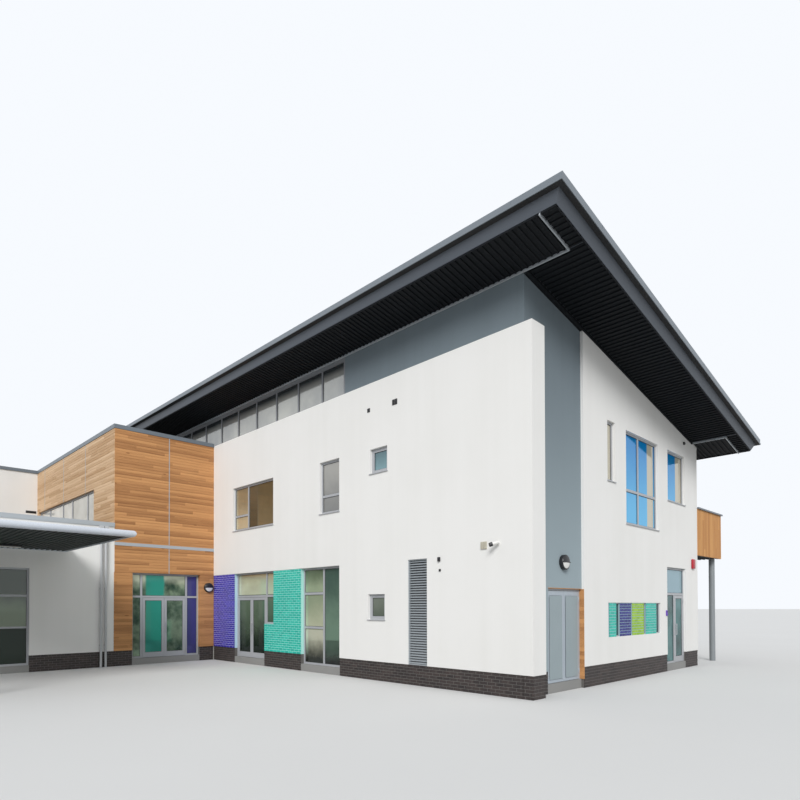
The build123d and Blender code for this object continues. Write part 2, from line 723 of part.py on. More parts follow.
def canopy_soffit():
    """The folded lining in the canopy's pocket, open round the posts."""
    x0, y0, x1, y1 = canopy_corners()
    inset = CANOPY_RIM + SHEET_GAP
    top = FLOOR_LEVEL + CANOPY_SOFFIT + CANOPY_POCKET
    sheet = Pos(0, 0, top) * folded_sheet(x0 + inset, x1 - inset, y0 + inset, y1 - inset, True)
    for x, y in canopy_posts():
        sheet -= Pos(x, y, top) * Cylinder(POST_RADIUS + JOINT, 4 * CANOPY_POCKET)
    return [sheet]


def round_posts():
    posts = [(place, CANOPY_SOFFIT + CANOPY_POCKET) for place in canopy_posts()]
    for along in (BALCONY_POST_SET, BALCONY_LENGTH - BALCONY_POST_SET):
        posts.append((REAR.at(along, -BALCONY_DEPTH + BALCONY_POST_BACK), BALCONY_UNDER))
    solids = []
    for (x, y), top in posts:
        height = FLOOR_LEVEL + top
        solids.append(Pos(x, y, height / 2) * Cylinder(POST_RADIUS, height))
    return solids


def balcony_deck():
    """The deck between the boards, with square ribs under it from the wall to the back."""
    thick = BOARD_THICK
    low = BALCONY_UNDER + DECK_RIB_DEPTH
    outer = -BALCONY_DEPTH + thick
    deck = REAR.block(thick, BALCONY_LENGTH - thick, low, BALCONY_UNDER + BALCONY_DECK, outer, 0)
    room = BALCONY_LENGTH - 2 * thick - DECK_RIB_WIDTH
    count = int(room / DECK_RIB_PITCH)
    first = (BALCONY_LENGTH - count * DECK_RIB_PITCH) / 2
    ribs = []
    for i in range(count + 1):
        middle = first + i * DECK_RIB_PITCH
        start = middle - DECK_RIB_WIDTH / 2
        ribs.append(REAR.block(start, start + DECK_RIB_WIDTH, BALCONY_UNDER, low, outer, 0))
    return [deck + ribs]


def balcony_parapet():
    """Upright boarding under the cap, round the three open sides of the deck."""
    thick = BOARD_THICK
    length = BALCONY_LENGTH
    low = BALCONY_UNDER
    top = BALCONY_TOP - BALCONY_CAP
    outer = -BALCONY_DEPTH
    near = REAR.block(0, thick, low, top, outer, 0)
    far = REAR.block(length - thick, length, low, top, outer, 0)
    start = thick + JOINT
    back = REAR.block(start, length - start, low + DECK_RIB_DEPTH, top, outer, outer + thick)
    return [near, far, back]


# Joinery
def frame_ring(face, o, lights, set_back=REVEAL, depth=FRAME_DEPTH):
    """A frame that fills an opening, cut through at its lights."""
    frame = face.block(o.near, o.far, o.sill, o.head, set_back, set_back + depth)
    for near, far, low, high in lights:
        frame -= face.block(near, far, low, high, set_back - depth, set_back + 2 * depth)
    return frame


def lights_of(o):
    """The lights of a window: columns between its mullions, parted by its transoms."""
    edge = o.border
    edges = [(o.near, edge)] + [(m, MULLION / 2) for m in o.mullions] + [(o.far, edge)]
    lights = []
    for i, ((a, wa), (b, wb)) in enumerate(zip(edges, edges[1:])):
        cuts = [h for h, column in o.transoms if column == i]
        levels = [(o.sill, edge)] + [(h, MULLION / 2) for h in cuts] + [(o.head, edge)]
        for (c, wc), (d, wd) in zip(levels, levels[1:]):
            lights.append((a + wa, b - wb, c + wc, d - wd))
    return lights


def ribbon_panels():
    """The near and far edge of each coloured panel of the ribbon."""
    panels = []
    at = RIBBON.near + RIBBON_END
    for panel, light in RIBBON_STEPS:
        panels.append((at, at + panel))
        at += panel + light
    return panels


def ribbon_lights():
    """The narrow light beyond each coloured panel of the ribbon."""
    low = RIBBON.sill + RIBBON_RAIL
    high = RIBBON.head - RIBBON_RAIL
    return [(end, end + step[1], low, high) for (_, end), step in zip(ribbon_panels(), RIBBON_STEPS)]


def all_windows():
    """Every fixed window with the face it stands in."""
    groups = [
        (FRONT, FRONT_WINDOWS + [FRONT_LOW_WINDOW]),
        (GABLE, GABLE_WINDOWS + [OVER_DOOR_WINDOW]),
        (REAR, REAR_WINDOWS + [BALCONY_DOOR]),
        (WEST, WEST_WINDOWS + WING_WEST_WINDOWS),
        (LEFT_FRONT, WING_FRONT_WINDOWS + LOW_FRONT_WINDOWS),
        (BLOCK_FRONT, [BLOCK_WINDOW]),
        (BLOCK_SIDE, [LOW_SIDE_WINDOW]),
    ]
    return [(face, o) for face, group in groups for o in group]


def glass_in(face, lights, set_back=REVEAL, depth=FRAME_DEPTH):
    middle = set_back + depth / 2
    return [
        face.block(near, far, low, high, middle - PANE / 2, middle + PANE / 2)
        for near, far, low, high in lights
    ]


def window_frames():
    frames = [frame_ring(face, o, lights_of(o)) for face, o in all_windows()]
    frames.append(ribbon_frame())
    frames.append(frame_ring(FRONT, SCREEN_2, screen_2_lights(), SCREEN_SET))
    return frames


def ribbon_frame():
    """The ribbon's frame, cut for its lights and right out where the panels sit."""
    panels = [(a, b, RIBBON.sill, RIBBON.head) for a, b in ribbon_panels()]
    return frame_ring(GABLE, RIBBON, ribbon_lights() + panels, RIBBON_SET)


def window_glass():
    panes = []
    for face, o in all_windows():
        panes += glass_in(face, lights_of(o))
    return panes + glass_in(GABLE, ribbon_lights(), RIBBON_SET)


def window_sills():
    """Thin pressed sills that stand out past the wall and past each jamb."""
    sills = []
    for face, o in all_windows():
        if o.sill_board:
            low = o.sill - SILL_THICK
            sills.append(face.block(o.near - SILL_END, o.far + SILL_END, low, o.sill, -SILL_PROUD, 0))
    return sills


class Doorway:
    """A screen with doors: its opening, its leaves from near to far, and its fixed lights.

    hung says for each leaf which of its edges carries the hinges: 1 for near, -1 for far.
    """

    def __init__(self, face, opening, leaves, hung, lights, set_back):
        self.face = face
        self.opening = opening
        self.leaves = leaves
        self.hung = hung
        self.lights = lights
        self.set_back = set_back

    def head(self):
        """The underside of the frame over the leaves."""
        return TRANSOM_LOW if self.lights else self.opening.head - FRAME


def pair(near, far):
    """Two leaves that meet in the middle of a doorway."""
    middle = (near + far) / 2
    return [(near + LEAF_GAP, middle - LEAF_GAP / 2), (middle + LEAF_GAP / 2, far - LEAF_GAP)]


PAIR_HUNG = [1, -1]


def doorways():
    top = SCREEN_HEAD - FRAME
    s1 = SCREEN_1
    front = Doorway(
        FRONT, s1, pair(SIDE_LIGHT_END, s1.far - FRAME), PAIR_HUNG,
        [(SIDE_LIGHT_END, s1.far - FRAME, TRANSOM_HIGH, top),
         (s1.near + FRAME, SIDE_LIGHT_END - MULLION, TRANSOM_HIGH, top),
         (s1.near + FRAME, SIDE_LIGHT_END - MULLION, SIDE_SILL + FRAME, TRANSOM_LOW)],
        SCREEN_SET,
    )
    b = BLOCK_DOOR
    lights = [(PLAY_DOOR_START, PLAY_DOOR_END, TRANSOM_HIGH, top)]
    for near, far in ((b.near + FRAME, PLAY_DOOR_START - MULLION), (PLAY_DOOR_END + MULLION, b.far - FRAME)):
        lights.append((near, far, FRAME, TRANSOM_LOW))
        lights.append((near, far, TRANSOM_HIGH, top))
    side = Doorway(BLOCK_SIDE, b, pair(PLAY_DOOR_START, PLAY_DOOR_END), PAIR_HUNG, lights, SCREEN_SET)
    g = GABLE_DOOR
    start = GABLE_LEAF_START
    gable = Doorway(
        GABLE, g, [(start + LEAF_GAP, g.far - FRAME - LEAF_GAP)], [-1],
        [(g.near + FRAME, start - MULLION, FRAME, TRANSOM_LOW),
         (g.near + FRAME, g.far - FRAME, TRANSOM_HIGH, top)],
        REVEAL,
    )
    s = SERVICE_DOOR
    service = Doorway(GREY_GABLE, s, pair(s.near + FRAME, s.far - FRAME), PAIR_HUNG, [], FRAME)
    return {"front": front, "side": side, "gable": gable, "service": service}


def doorway_frame(d):
    """The fixed frame round the leaves and lights of a doorway."""
    first = d.leaves[0][0] - LEAF_GAP
    last = d.leaves[-1][1] + LEAF_GAP
    frame = frame_ring(d.face, d.opening, d.lights + [(first, last, 0, d.head())], d.set_back)
    for index in range(len(d.leaves)):
        frame += hinges(d, index, -1)
    return frame


def hinges(d, index, side):
    """The two lift-off hinges of a leaf.

    Side -1 gives their lower halves, with faceted barrels, on the frame. Side 1 gives the round
    upper halves on the leaf.
    """
    hand = d.hung[index]
    edge = d.leaves[index][0] if hand == 1 else d.leaves[index][1]
    pin = edge - hand * LEAF_GAP / 2
    x, y = d.face.at(pin, d.set_back - BARREL_SET)
    plate_edges = sorted((pin, pin + side * hand * HINGE_PLATE_WIDTH))
    section = Circle(BARREL_RADIUS) if side == 1 else RegularPolygon(BARREL_RADIUS, BARREL_SIDES)
    parts = []
    for middle in (LEAF_GAP + HINGE_END, d.head() - LEAF_GAP - HINGE_END):
        low = middle + BARREL_RUN if side == 1 else middle - BARREL_HEIGHT
        barrel = Pos(x, y, FLOOR_LEVEL + low) * extrude(section, BARREL_HEIGHT)
        plate = d.face.block(*plate_edges, low, low + BARREL_HEIGHT, d.set_back - HINGE_PLATE, d.set_back)
        parts += [barrel, plate]
    return parts


def door_frames():
    """The frames of the four doorways, the front one stepped over the low brick panel."""
    ways = doorways()
    step = FRONT.block(SCREEN_1.near, SIDE_LIGHT_END - MULLION, 0, SIDE_SILL, 0, WALL)
    front = doorway_frame(ways["front"]) - step
    return [front] + [doorway_frame(ways[name]) for name in ("side", "gable", "service")]


def screen_2_lights():
    s = SCREEN_2
    top = SCREEN_HEAD - FRAME
    left = SCREEN_2_MULLION + MULLION / 2
    right = SCREEN_2_MULLION - MULLION / 2
    half = MULLION / 2
    return [
        (s.near + FRAME, right, FRAME, top),
        (left, s.far - FRAME, FRAME, SCREEN_2_RAIL - half),
        (left, s.far - FRAME, SCREEN_2_RAIL + half, TRANSOM_LOW + half),
        (left, s.far - FRAME, TRANSOM_HIGH + half, top),
    ]


def screen_glass():
    panes = glass_in(FRONT, screen_2_lights(), SCREEN_SET)
    for d in doorways().values():
        panes += glass_in(d.face, d.lights, d.set_back)
    return panes


def leaf_top(d):
    return d.head() - LEAF_GAP


def leaf_frame(d, index):
    """A glazed leaf's aluminium stiles and rails."""
    near, far = d.leaves[index]
    low = LEAF_GAP
    leaf = d.face.block(near, far, low, leaf_top(d), d.set_back, d.set_back + LEAF_DEPTH)
    near, far, low, high = leaf_light(d, index)
    leaf -= d.face.block(near, far, low, high, 0, WALL)
    leaf += hinges(d, index, 1)
    if index == 0:
        leaf += pull_handle(d, index)
    return [leaf]


def pull_handle(d, index):
    """An upright pull bar on two feet, on the stile away from the hinges."""
    near, far = d.leaves[index]
    middle = far - LEAF_STILE / 2 if d.hung[index] == 1 else near + LEAF_STILE / 2
    start = middle - HANDLE_WIDTH / 2
    end = middle + HANDLE_WIDTH / 2
    face = d.set_back
    inner = face - HANDLE_OUT + HANDLE_WIDTH
    bar = d.face.block(start, end, HANDLE_LOW, HANDLE_HIGH, face - HANDLE_OUT, inner)
    low_foot = d.face.block(start, end, HANDLE_LOW, HANDLE_LOW + HANDLE_WIDTH, inner, face)
    high_foot = d.face.block(start, end, HANDLE_HIGH - HANDLE_WIDTH, HANDLE_HIGH, inner, face)
    return [bar, low_foot, high_foot]


def leaf_light(d, index):
    near, far = d.leaves[index]
    return near + LEAF_STILE, far - LEAF_STILE, LEAF_GAP + 2 * LEAF_STILE, leaf_top(d) - LEAF_STILE


def leaf_glass(d, index):
    return glass_in(d.face, [leaf_light(d, index)], d.set_back, LEAF_DEPTH)


def solid_leaf(d, index):
    """A steel leaf with a shallow recessed panel."""
    near, far = d.leaves[index]
    leaf = d.face.block(near, far, LEAF_GAP, leaf_top(d), d.set_back, d.set_back + SOLID_LEAF)
    side = LEAF_PANEL_SIDE
    panel_top = leaf_top(d) - LEAF_PANEL_TOP
    leaf -= d.face.block(near + side, far - side, LEAF_GAP + side, panel_top, 0, d.set_back + LEAF_PANEL_DEEP)
    return [leaf + hinges(d, index, 1)]


# Coloured brick panels, louvre and fittings
def panel_layer(outer, inner):
    """The blue, the stepped teal and the ribbon's panels between two depths behind their faces."""
    low = PLINTH_TOP
    blue = FRONT.block(SCREEN_1.far, WHITE_LENGTH, low, RECESS_HEAD, outer, inner)
    teal = FRONT.block(SCREEN_2.far, SCREEN_1.near, low, RECESS_HEAD, outer, inner)
    step = FRONT.block(SCREEN_1.near, SIDE_LIGHT_END - MULLION, low, SIDE_SILL, outer, inner)
    ribbon = [GABLE.block(a, b, RIBBON.sill, RIBBON.head, outer, inner) for a, b in ribbon_panels()]
    return [blue, teal + step] + ribbon


def glazed_brick_panels():
    return panel_layer(PANEL_SET, PANEL_SET + PANEL_THICK)


def recess_backing():
    """The inner leaf that backs the coloured panels."""
    return panel_layer(PANEL_SET + PANEL_THICK, WALL)


def service_louvre():
    """Slatted louvre that fills its opening, with its blades housed in the frame."""
    o = LOUVRE
    edge = LOUVRE_FRAME
    near, far, low, high = o.near + edge, o.far - edge, o.sill + edge, o.head - edge
    frame = frame_ring(FRONT, o, [(near, far, low, high)], LOUVRE_SET)
    count = round((high - low) / LOUVRE_PITCH)
    x, y = FRONT.at((near + far) / 2, LOUVRE_SET + FRAME_DEPTH / 2)
    blade = Rot(LOUVRE_TILT, 0, 0) * Box(far - near + 2 * LOUVRE_HOUSING, LOUVRE_BLADE, LOUVRE_THICK)
    blades = []
    for i in range(count):
        level = low + (i + 0.5) * (high - low) / count
        blades.append(Pos(x, y, FLOOR_LEVEL + level) * blade)
    return [frame + blades]


def wall_light(face, along, height):
    """A round bulkhead with a hood over its upper half, on a wall that faces along X."""
    drum = Cylinder(LIGHT_RADIUS, LIGHT_DEPTH)
    hood = Cylinder(LIGHT_RADIUS - LIGHT_RIM, LIGHT_HOOD) - Pos(LIGHT_RADIUS, 0, 0) * Box(
        2 * LIGHT_RADIUS, 2 * LIGHT_RADIUS, 2 * LIGHT_HOOD
    )
    x, y = face.at(along, -LIGHT_DEPTH / 2)
    light = drum + Pos(0, 0, (LIGHT_DEPTH + LIGHT_HOOD) / 2) * hood
    return Pos(x, y, FLOOR_LEVEL + height) * Rot(0, 90, 0) * light


def wall_lights():
    return [wall_light(*place) for place in WALL_LIGHTS]


def wall_fittings():
    """Vents, a camera, sensors, a sounder and an entry panel on the walls, and the lamp of the canopy."""
    pieces = []
    for face, along, height, width, tall, out in FITTINGS:
        half = width / 2
        pieces.append(face.block(along - half, along + half, height - tall / 2, height + tall / 2, -out, 0))
    length, width, tall = CANOPY_LAMP
    top = CANOPY_SOFFIT + CANOPY_POCKET - SOFFIT_SHEET - FOLD_DEPTH
    near = CANOPY_LAMP_ALONG - length / 2
    out = -CANOPY_LAMP_OUT
    pieces.append(BLOCK_SIDE.block(near, near + length, top - tall, top, out - width / 2, out + width / 2))
    return pieces


def downpipes():
    """Upright pipes with a hopper under the coping, held to the wall by clips."""
    top = LOW_PARAPET_TOP - JOINT - HOPPER_HEIGHT
    height = FLOOR_LEVEL + top
    centre = PIPE_OFF + PIPE_RADIUS
    pipes = []
    for along in PIPE_PLACES:
        x, y = BLOCK_SIDE.at(along, -centre)
        pipe = Pos(x, y, 0) * extrude(RegularPolygon(PIPE_RADIUS, PIPE_SIDES), height)
        half = HOPPER_WIDTH / 2
        pipe += BLOCK_SIDE.block(along - half, along + half, top, top + HOPPER_HEIGHT, -2 * centre, 0)
        half = CLIP_WIDTH / 2
        for level in PIPE_CLIPS:
            pipe += BLOCK_SIDE.block(along - half, along + half, level, level + CLIP_HEIGHT, -centre, 0)
        pipes.append(pipe)
    return pipes


def write_part(name, solids):
    shape = solids[0] if len(solids) == 1 else Compound(children=list(solids))
    shape.label = name
    export_step(shape, f"parts/{name}.step")


def doors():
    """Each hinged leaf with its glass, by name."""
    ways = doorways()
    nodes = {}
    for name, label in (("side", "play_door"), ("front", "class_door")):
        for index, hand in enumerate(("near", "far")):
            nodes[f"{label}_{hand}"] = leaf_frame(ways[name], index)
            nodes[f"{label}_{hand}_glass"] = leaf_glass(ways[name], index)
    nodes["gable_door"] = leaf_frame(ways["gable"], 0)
    nodes["gable_door_glass"] = leaf_glass(ways["gable"], 0)
    nodes["service_door_near"] = solid_leaf(ways["service"], 0)
    nodes["service_door_far"] = solid_leaf(ways["service"], 1)
    return nodes


def main():
    os.makedirs("parts", exist_ok=True)
    nodes = {
        "ground_slab": ground_slab(),
        "first_floor": first_floor(),
        "brick_plinth": brick_plinth() + [corner_plinth()],
        "front_wall_upper": front_wall_upper(),
        "front_wall_lower": front_wall_lower(),
        "corner_pier": corner_pier(),
        "bar_inner_wall": bar_inner_wall(),
        "recess_backing": recess_backing(),
        "grey_wall_front": grey_wall_front(),
        "grey_gable_pier": grey_gable_pier(),
        "grey_gable_lintel": grey_gable_lintel(),
        "gable_wall": gable_wall(),
        "gable_wall_over_door": gable_wall_over_door(),
        "rear_wall": rear_wall(),
        "west_wall": west_wall(),
        "clerestory_frame": clerestory_frame(),
        "clerestory_glass": clerestory_glass(),
        "roof_deck": roof_deck(),
        "roof_sheet": roof_sheet(),
        "roof_soffit": roof_soffit(),
        "metal_trims": metal_trims(),
        "block_side_wall": block_side_wall(),
        "block_side_piers": block_side_piers(),
        "block_front_wall": block_front_wall(),
        "wing_side_walls": wing_side_walls(),
        "left_front_walls": left_front_walls(),
        "low_block_side_wall": low_block_side_wall(),
        "flat_roofs": flat_roofs(),
        "parapet_copings": parapet_copings(),
        "canopy": canopy(),
        "canopy_soffit": canopy_soffit(),
        "round_posts": round_posts(),
        "balcony_deck": balcony_deck(),
        "balcony_parapet": balcony_parapet(),
        "glazed_brick_panels": glazed_brick_panels(),
        "window_frames": window_frames(),
        "window_glass": window_glass(),
        "window_sills": window_sills(),
        "door_frames": door_frames(),
        "screen_glass": screen_glass(),
        "service_louvre": service_louvre(),
        "wall_lights": wall_lights(),
        "wall_fittings": wall_fittings(),
        "downpipes": downpipes(),
    }
    nodes.update(doors())
    for name, solids in nodes.items():
        write_part(name, solids)


main()
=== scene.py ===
# %% [markdown]
# A two-storey school building: a long range under a steep monopitch roof, white and grey
# render, a timber-clad block with a flat roof, panels of coloured glazed brick, a play
# canopy and a boarded balcony. The solids come from the CAD frame at their real size. This
# lesson gives each surface its finish and adds what is too fine for the solids: boards,
# bricks, folded sheets, seams, lenses and grilles.

# %% Load the frame
import math

import bmesh
import bpy
from mathutils import Matrix, Vector


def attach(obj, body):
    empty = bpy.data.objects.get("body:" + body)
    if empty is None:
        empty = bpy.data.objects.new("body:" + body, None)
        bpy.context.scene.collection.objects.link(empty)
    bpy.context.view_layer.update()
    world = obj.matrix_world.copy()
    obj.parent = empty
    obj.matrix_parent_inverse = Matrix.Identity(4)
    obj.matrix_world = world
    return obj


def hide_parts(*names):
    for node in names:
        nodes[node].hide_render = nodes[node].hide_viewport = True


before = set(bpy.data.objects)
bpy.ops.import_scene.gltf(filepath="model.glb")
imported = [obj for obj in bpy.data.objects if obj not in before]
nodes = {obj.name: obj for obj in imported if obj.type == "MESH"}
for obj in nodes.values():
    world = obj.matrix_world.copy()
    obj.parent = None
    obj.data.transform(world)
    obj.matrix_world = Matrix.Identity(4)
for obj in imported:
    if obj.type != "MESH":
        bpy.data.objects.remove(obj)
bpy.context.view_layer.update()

# %% [markdown]
# The camera stands where the photo was taken from: a little over eye height, out in front of
# the building's corner. The picture was taken with a level camera whose lens was shifted
# upwards, which is why the walls stay upright, so the shift is set here and the pitch is
# almost nothing.

# %% Camera
CAMERA_AT = Vector((8.483, -12.422, 2.020))
CAMERA_YAW = math.radians(45.293)
CAMERA_PITCH = math.radians(0.751)
CAMERA_ROLL = math.radians(-0.132)
SENSOR = 36.0
PICTURE = 800
FOCAL_PIXELS = 591.175
CENTRE_ROW = 598.779
FARTHEST = 500

camera_data = bpy.data.cameras.new("camera")
camera_data.sensor_width = SENSOR
camera_data.lens = FOCAL_PIXELS / PICTURE * SENSOR
camera_data.shift_y = (CENTRE_ROW - PICTURE / 2) / PICTURE
camera_data.clip_end = FARTHEST
camera = bpy.data.objects.new("camera", camera_data)
bpy.context.scene.collection.objects.link(camera)
turn = (
    Matrix.Rotation(CAMERA_YAW, 4, "Z")
    @ Matrix.Rotation(math.pi / 2 + CAMERA_PITCH, 4, "X")
    @ Matrix.Rotation(CAMERA_ROLL, 4, "Z")
)
camera.matrix_world = Matrix.Translation(CAMERA_AT) @ turn
bpy.context.scene.camera = camera
print("lens", round(camera_data.lens, 2), "shift", round(camera_data.shift_y, 4))

# %% [markdown]
# A shader is easier to read as arithmetic than as wires. This small class wraps one output
# socket. Adding or multiplying two of them adds the Math node that does it, and the other
# nodes come from one method, so every finish below is a few lines long.


# %% Shader arithmetic
class Wave:
    """One output socket of a material, with operators that add Math nodes."""

    def __init__(self, tree, socket):
        self.tree = tree
        self.socket = socket

    def node(self, kind, settings=(), inputs=(), output=0):
        """Adds a node: its settings are set first, then the values or links of its sockets."""
        made = self.tree.nodes.new(kind)
        for name, value in dict(settings).items():
            setattr(made, name, value)
        for name, value in dict(inputs).items():
            if isinstance(value, Wave):
                self.tree.links.new(value.socket, made.inputs[name])
            else:
                made.inputs[name].default_value = value
        return Wave(self.tree, made.outputs[output])

    def maths(self, operation, *values):
        return self.node("ShaderNodeMath", {"operation": operation}, dict(enumerate(values)))

    def __add__(self, other):
        return self.maths("ADD", self, other)

    def __radd__(self, other):
        return self.maths("ADD", other, self)

    def __sub__(self, other):
        return self.maths("SUBTRACT", self, other)

    def __rsub__(self, other):
        return self.maths("SUBTRACT", other, self)

    def __mul__(self, other):
        return self.maths("MULTIPLY", self, other)

    def __rmul__(self, other):
        return self.maths("MULTIPLY", other, self)

    def __truediv__(self, other):
        return self.maths("DIVIDE", self, other)

    def above(self, level, soft=0.001):
        """1 where this value is above a level, 0 below, with a short ramp between."""
        smooth = {"interpolation_type": "SMOOTHSTEP"}
        return self.node("ShaderNodeMapRange", smooth, {0: self, 1: level - soft, 2: level + soft})

    def inside(self, low, high, soft=0.01):
        """1 between two levels."""
        return self.above(low, soft) * (1 - self.above(high, soft))

    def floor(self):
        return self.maths("FLOOR", self)

    def part(self, axis):
        """The X, Y or Z of a vector."""
        return self.node("ShaderNodeSeparateXYZ", (), {0: self}, "XYZ".index(axis))

    def scaled(self, x, y, z):
        """The pattern's coordinates, stretched along each axis."""
        return self.node("ShaderNodeMapping", (), {"Vector": self, "Scale": (x, y, z)})

    def noise(self, scale, detail=4.0, rough=0.55, seed=None):
        """Noise from 0 to 1. A seed slides it along a fourth axis, to another pattern."""
        values = {"Vector": self, "Scale": scale, "Detail": detail, "Roughness": rough}
        if seed is None:
            return self.node("ShaderNodeTexNoise", (), values)
        return self.node("ShaderNodeTexNoise", {"noise_dimensions": "4D"}, {**values, "W": seed})

    def nearest(self, scale):
        """The distance to the nearest of a scatter of points."""
        return self.node("ShaderNodeTexVoronoi", (), {"Vector": self, "Scale": scale})

    def blend(self, low, high):
        """A colour that goes from low to high as this value goes from 0 to 1."""
        # a Mix node has its A and B once for each type of data, and 6 and 7 are the colours
        slots = {"Factor": self, 6: low, 7: high}
        return self.node("ShaderNodeMix", {"data_type": "RGBA"}, slots, 2)


def cells(along, up, length, height, slide):
    """A random number for each brick or board, in courses that are slid against each other."""
    row = (up / height).floor()
    column = (along / length + row * slide).floor()
    spot = row.node("ShaderNodeCombineXYZ", (), {0: row, 1: column})
    return spot.node("ShaderNodeTexWhiteNoise", {"noise_dimensions": "2D"}, {"Vector": spot})


def colour(r, g, b):
    """An RGBA value for a colour socket."""
    return (r, g, b, 1)


def finish(name, build):
    """A node material. build gets the place on the object and returns the shader's values."""
    material = bpy.data.materials.new(name)
    material.use_nodes = True
    tree = material.node_tree
    shader = tree.nodes["Principled BSDF"]
    place = Wave(tree, tree.nodes.new("ShaderNodeTexCoord").outputs["Object"])
    for socket, value in build(place).items():
        if socket == "Bump":
            height, depth = value
            value = place.node("ShaderNodeBump", (), {"Height": height, "Distance": depth})
            socket = "Normal"
        if isinstance(value, Wave):
            tree.links.new(value.socket, shader.inputs[socket])
        else:
            shader.inputs[socket].default_value = value
    return material


def paint(material, *names):
    """Gives CAD nodes this finish."""
    for name in names:
        mesh = nodes[name].data
        mesh.materials.clear()
        mesh.materials.append(material)
    print(material.name, "on", ", ".join(names))


print("shader helpers ready")

# %% [markdown]
# Most new pieces belong to one of the building's outer faces. A matrix for each face lets the
# work be laid out as on a drawing of that wall: along it, up from the floor, and out towards
# the viewer. The roof has one too, whose floor is the sloping underside.

# %% Walls
FLOOR_LEVEL = 0.22
ROOF_FALL = 0.191
ROOF_CORNER = Vector((1.23, -1.38, 9.42))
SLAB_X, SLAB_Y = 1.5, -1.5
GABLE_X, GREY_X = 1.3, 1.23
REAR_Y, WEST_X = 8.97, -28.5
BLOCK_X, BLOCK_Y = -12.77, -5.14
WING_X, LEFT_Y = -22.64, -13.0


def wall(x, y, run, out):
    """The matrix of an outer wall face: X runs along it, Y is up and Z stands out of it."""
    upward = (0, 1, 0, FLOOR_LEVEL)
    return Matrix(((run[0], 0, out[0], x), (run[1], 0, out[1], y), upward, (0, 0, 0, 1)))


FRONT = wall(SLAB_X, SLAB_Y, (-1, 0), (0, -1))
CORNER = wall(SLAB_X, SLAB_Y, (0, 1), (1, 0))
GABLE = wall(GABLE_X, SLAB_Y, (0, 1), (1, 0))
GREY_GABLE = wall(GREY_X, SLAB_Y, (0, 1), (1, 0))
REAR = wall(GABLE_X, REAR_Y, (-1, 0), (0, 1))
WEST = wall(WEST_X, REAR_Y, (0, -1), (-1, 0))
BLOCK_SIDE = wall(BLOCK_X, SLAB_Y, (0, -1), (1, 0))
BLOCK_FRONT = wall(BLOCK_X, BLOCK_Y, (-1, 0), (0, -1))
WING_SIDE = wall(WING_X, SLAB_Y, (0, -1), (1, 0))
LEFT_FRONT = wall(BLOCK_X, LEFT_Y, (-1, 0), (0, -1))
ROOF = Matrix.Translation(ROOF_CORNER) @ Matrix.Rotation(-math.atan(ROOF_FALL), 4, "X")
LEVEL = Matrix.Identity(4)
print("matrices of 10 walls and the roof")

# %% [markdown]
# Boards, bricks, ribs and seams are too many and too fine for the solids, so they are modelled
# here. Each one starts as a bar that is bevelled, and is then copied at an even step. A spin
# without any turn makes all those copies in one operation, and a bisecting plane trims the row
# where the wall ends. The work is done flat, as on a bench, and the wall's matrix then sets it
# up in its place.


# %% Bench tools
FLAT = 0.0001
CUT = 0.00001


def everything(bm):
    return bm.verts[:] + bm.edges[:] + bm.faces[:]


def bar(bm, low, high):
    """A box from its low corner to its high one, and its vertices."""
    verts = bmesh.ops.create_cube(bm, size=1)["verts"]
    low, high = Vector(low), Vector(high)
    bmesh.ops.scale(bm, vec=high - low, verts=verts)
    bmesh.ops.translate(bm, vec=(low + high) / 2, verts=verts)
    return verts


def bevel(bm, edges, width, segments=1):
    bmesh.ops.bevel(
        bm, geom=list(edges), offset=width, offset_type="OFFSET", affect="EDGES",
        segments=segments, profile=0.5, material=-1
    )


def boxed(low, high, width=0.0, segments=1):
    """One bevelled box on a new bench."""
    bm = bmesh.new()
    bar(bm, low, high)
    if width:
        bevel(bm, bm.edges, width, segments)
    return bm


def front_edges(bm):
    """The edges that lie in the part's outermost plane."""
    top = max(v.co.z for v in bm.verts)
    return [e for e in bm.edges if all(v.co.z > top - FLAT for v in e.verts)]


def repeat(bm, step, count):
    """Copies all that is on the bench, so that there are count of it at an even step."""
    if count > 1:
        bmesh.ops.spin(
            bm, geom=everything(bm), cent=(0, 0, 0), axis=(0, 0, 1), dvec=step, angle=0,
            steps=count - 1, use_duplicate=True
        )


def slice_off(bm, point, outward):
    """Cuts off what lies outside a plane, and closes the cut."""
    cut = bmesh.ops.bisect_plane(
        bm, geom=everything(bm), dist=CUT, plane_co=point, plane_no=outward, clear_outer=True
    )
    edges = [e for e in cut["geom_cut"] if isinstance(e, bmesh.types.BMEdge)]
    bmesh.ops.holes_fill(bm, edges=edges, sides=0)


def trim(bm, low, high):
    """Keeps what lies in a rectangle on the bench."""
    for back, forth in (((-1, 0, 0), (1, 0, 0)), ((0, -1, 0), (0, 1, 0))):
        slice_off(bm, (*low, 0), back)
        slice_off(bm, (*high, 0), forth)


print("bench tools ready")

# %% [markdown]
# A piece can hold many such parts, each set against its own wall. When it is done it becomes
# one object that rides on its body of the frame.


# %% Pieces
BUILDING = "building"


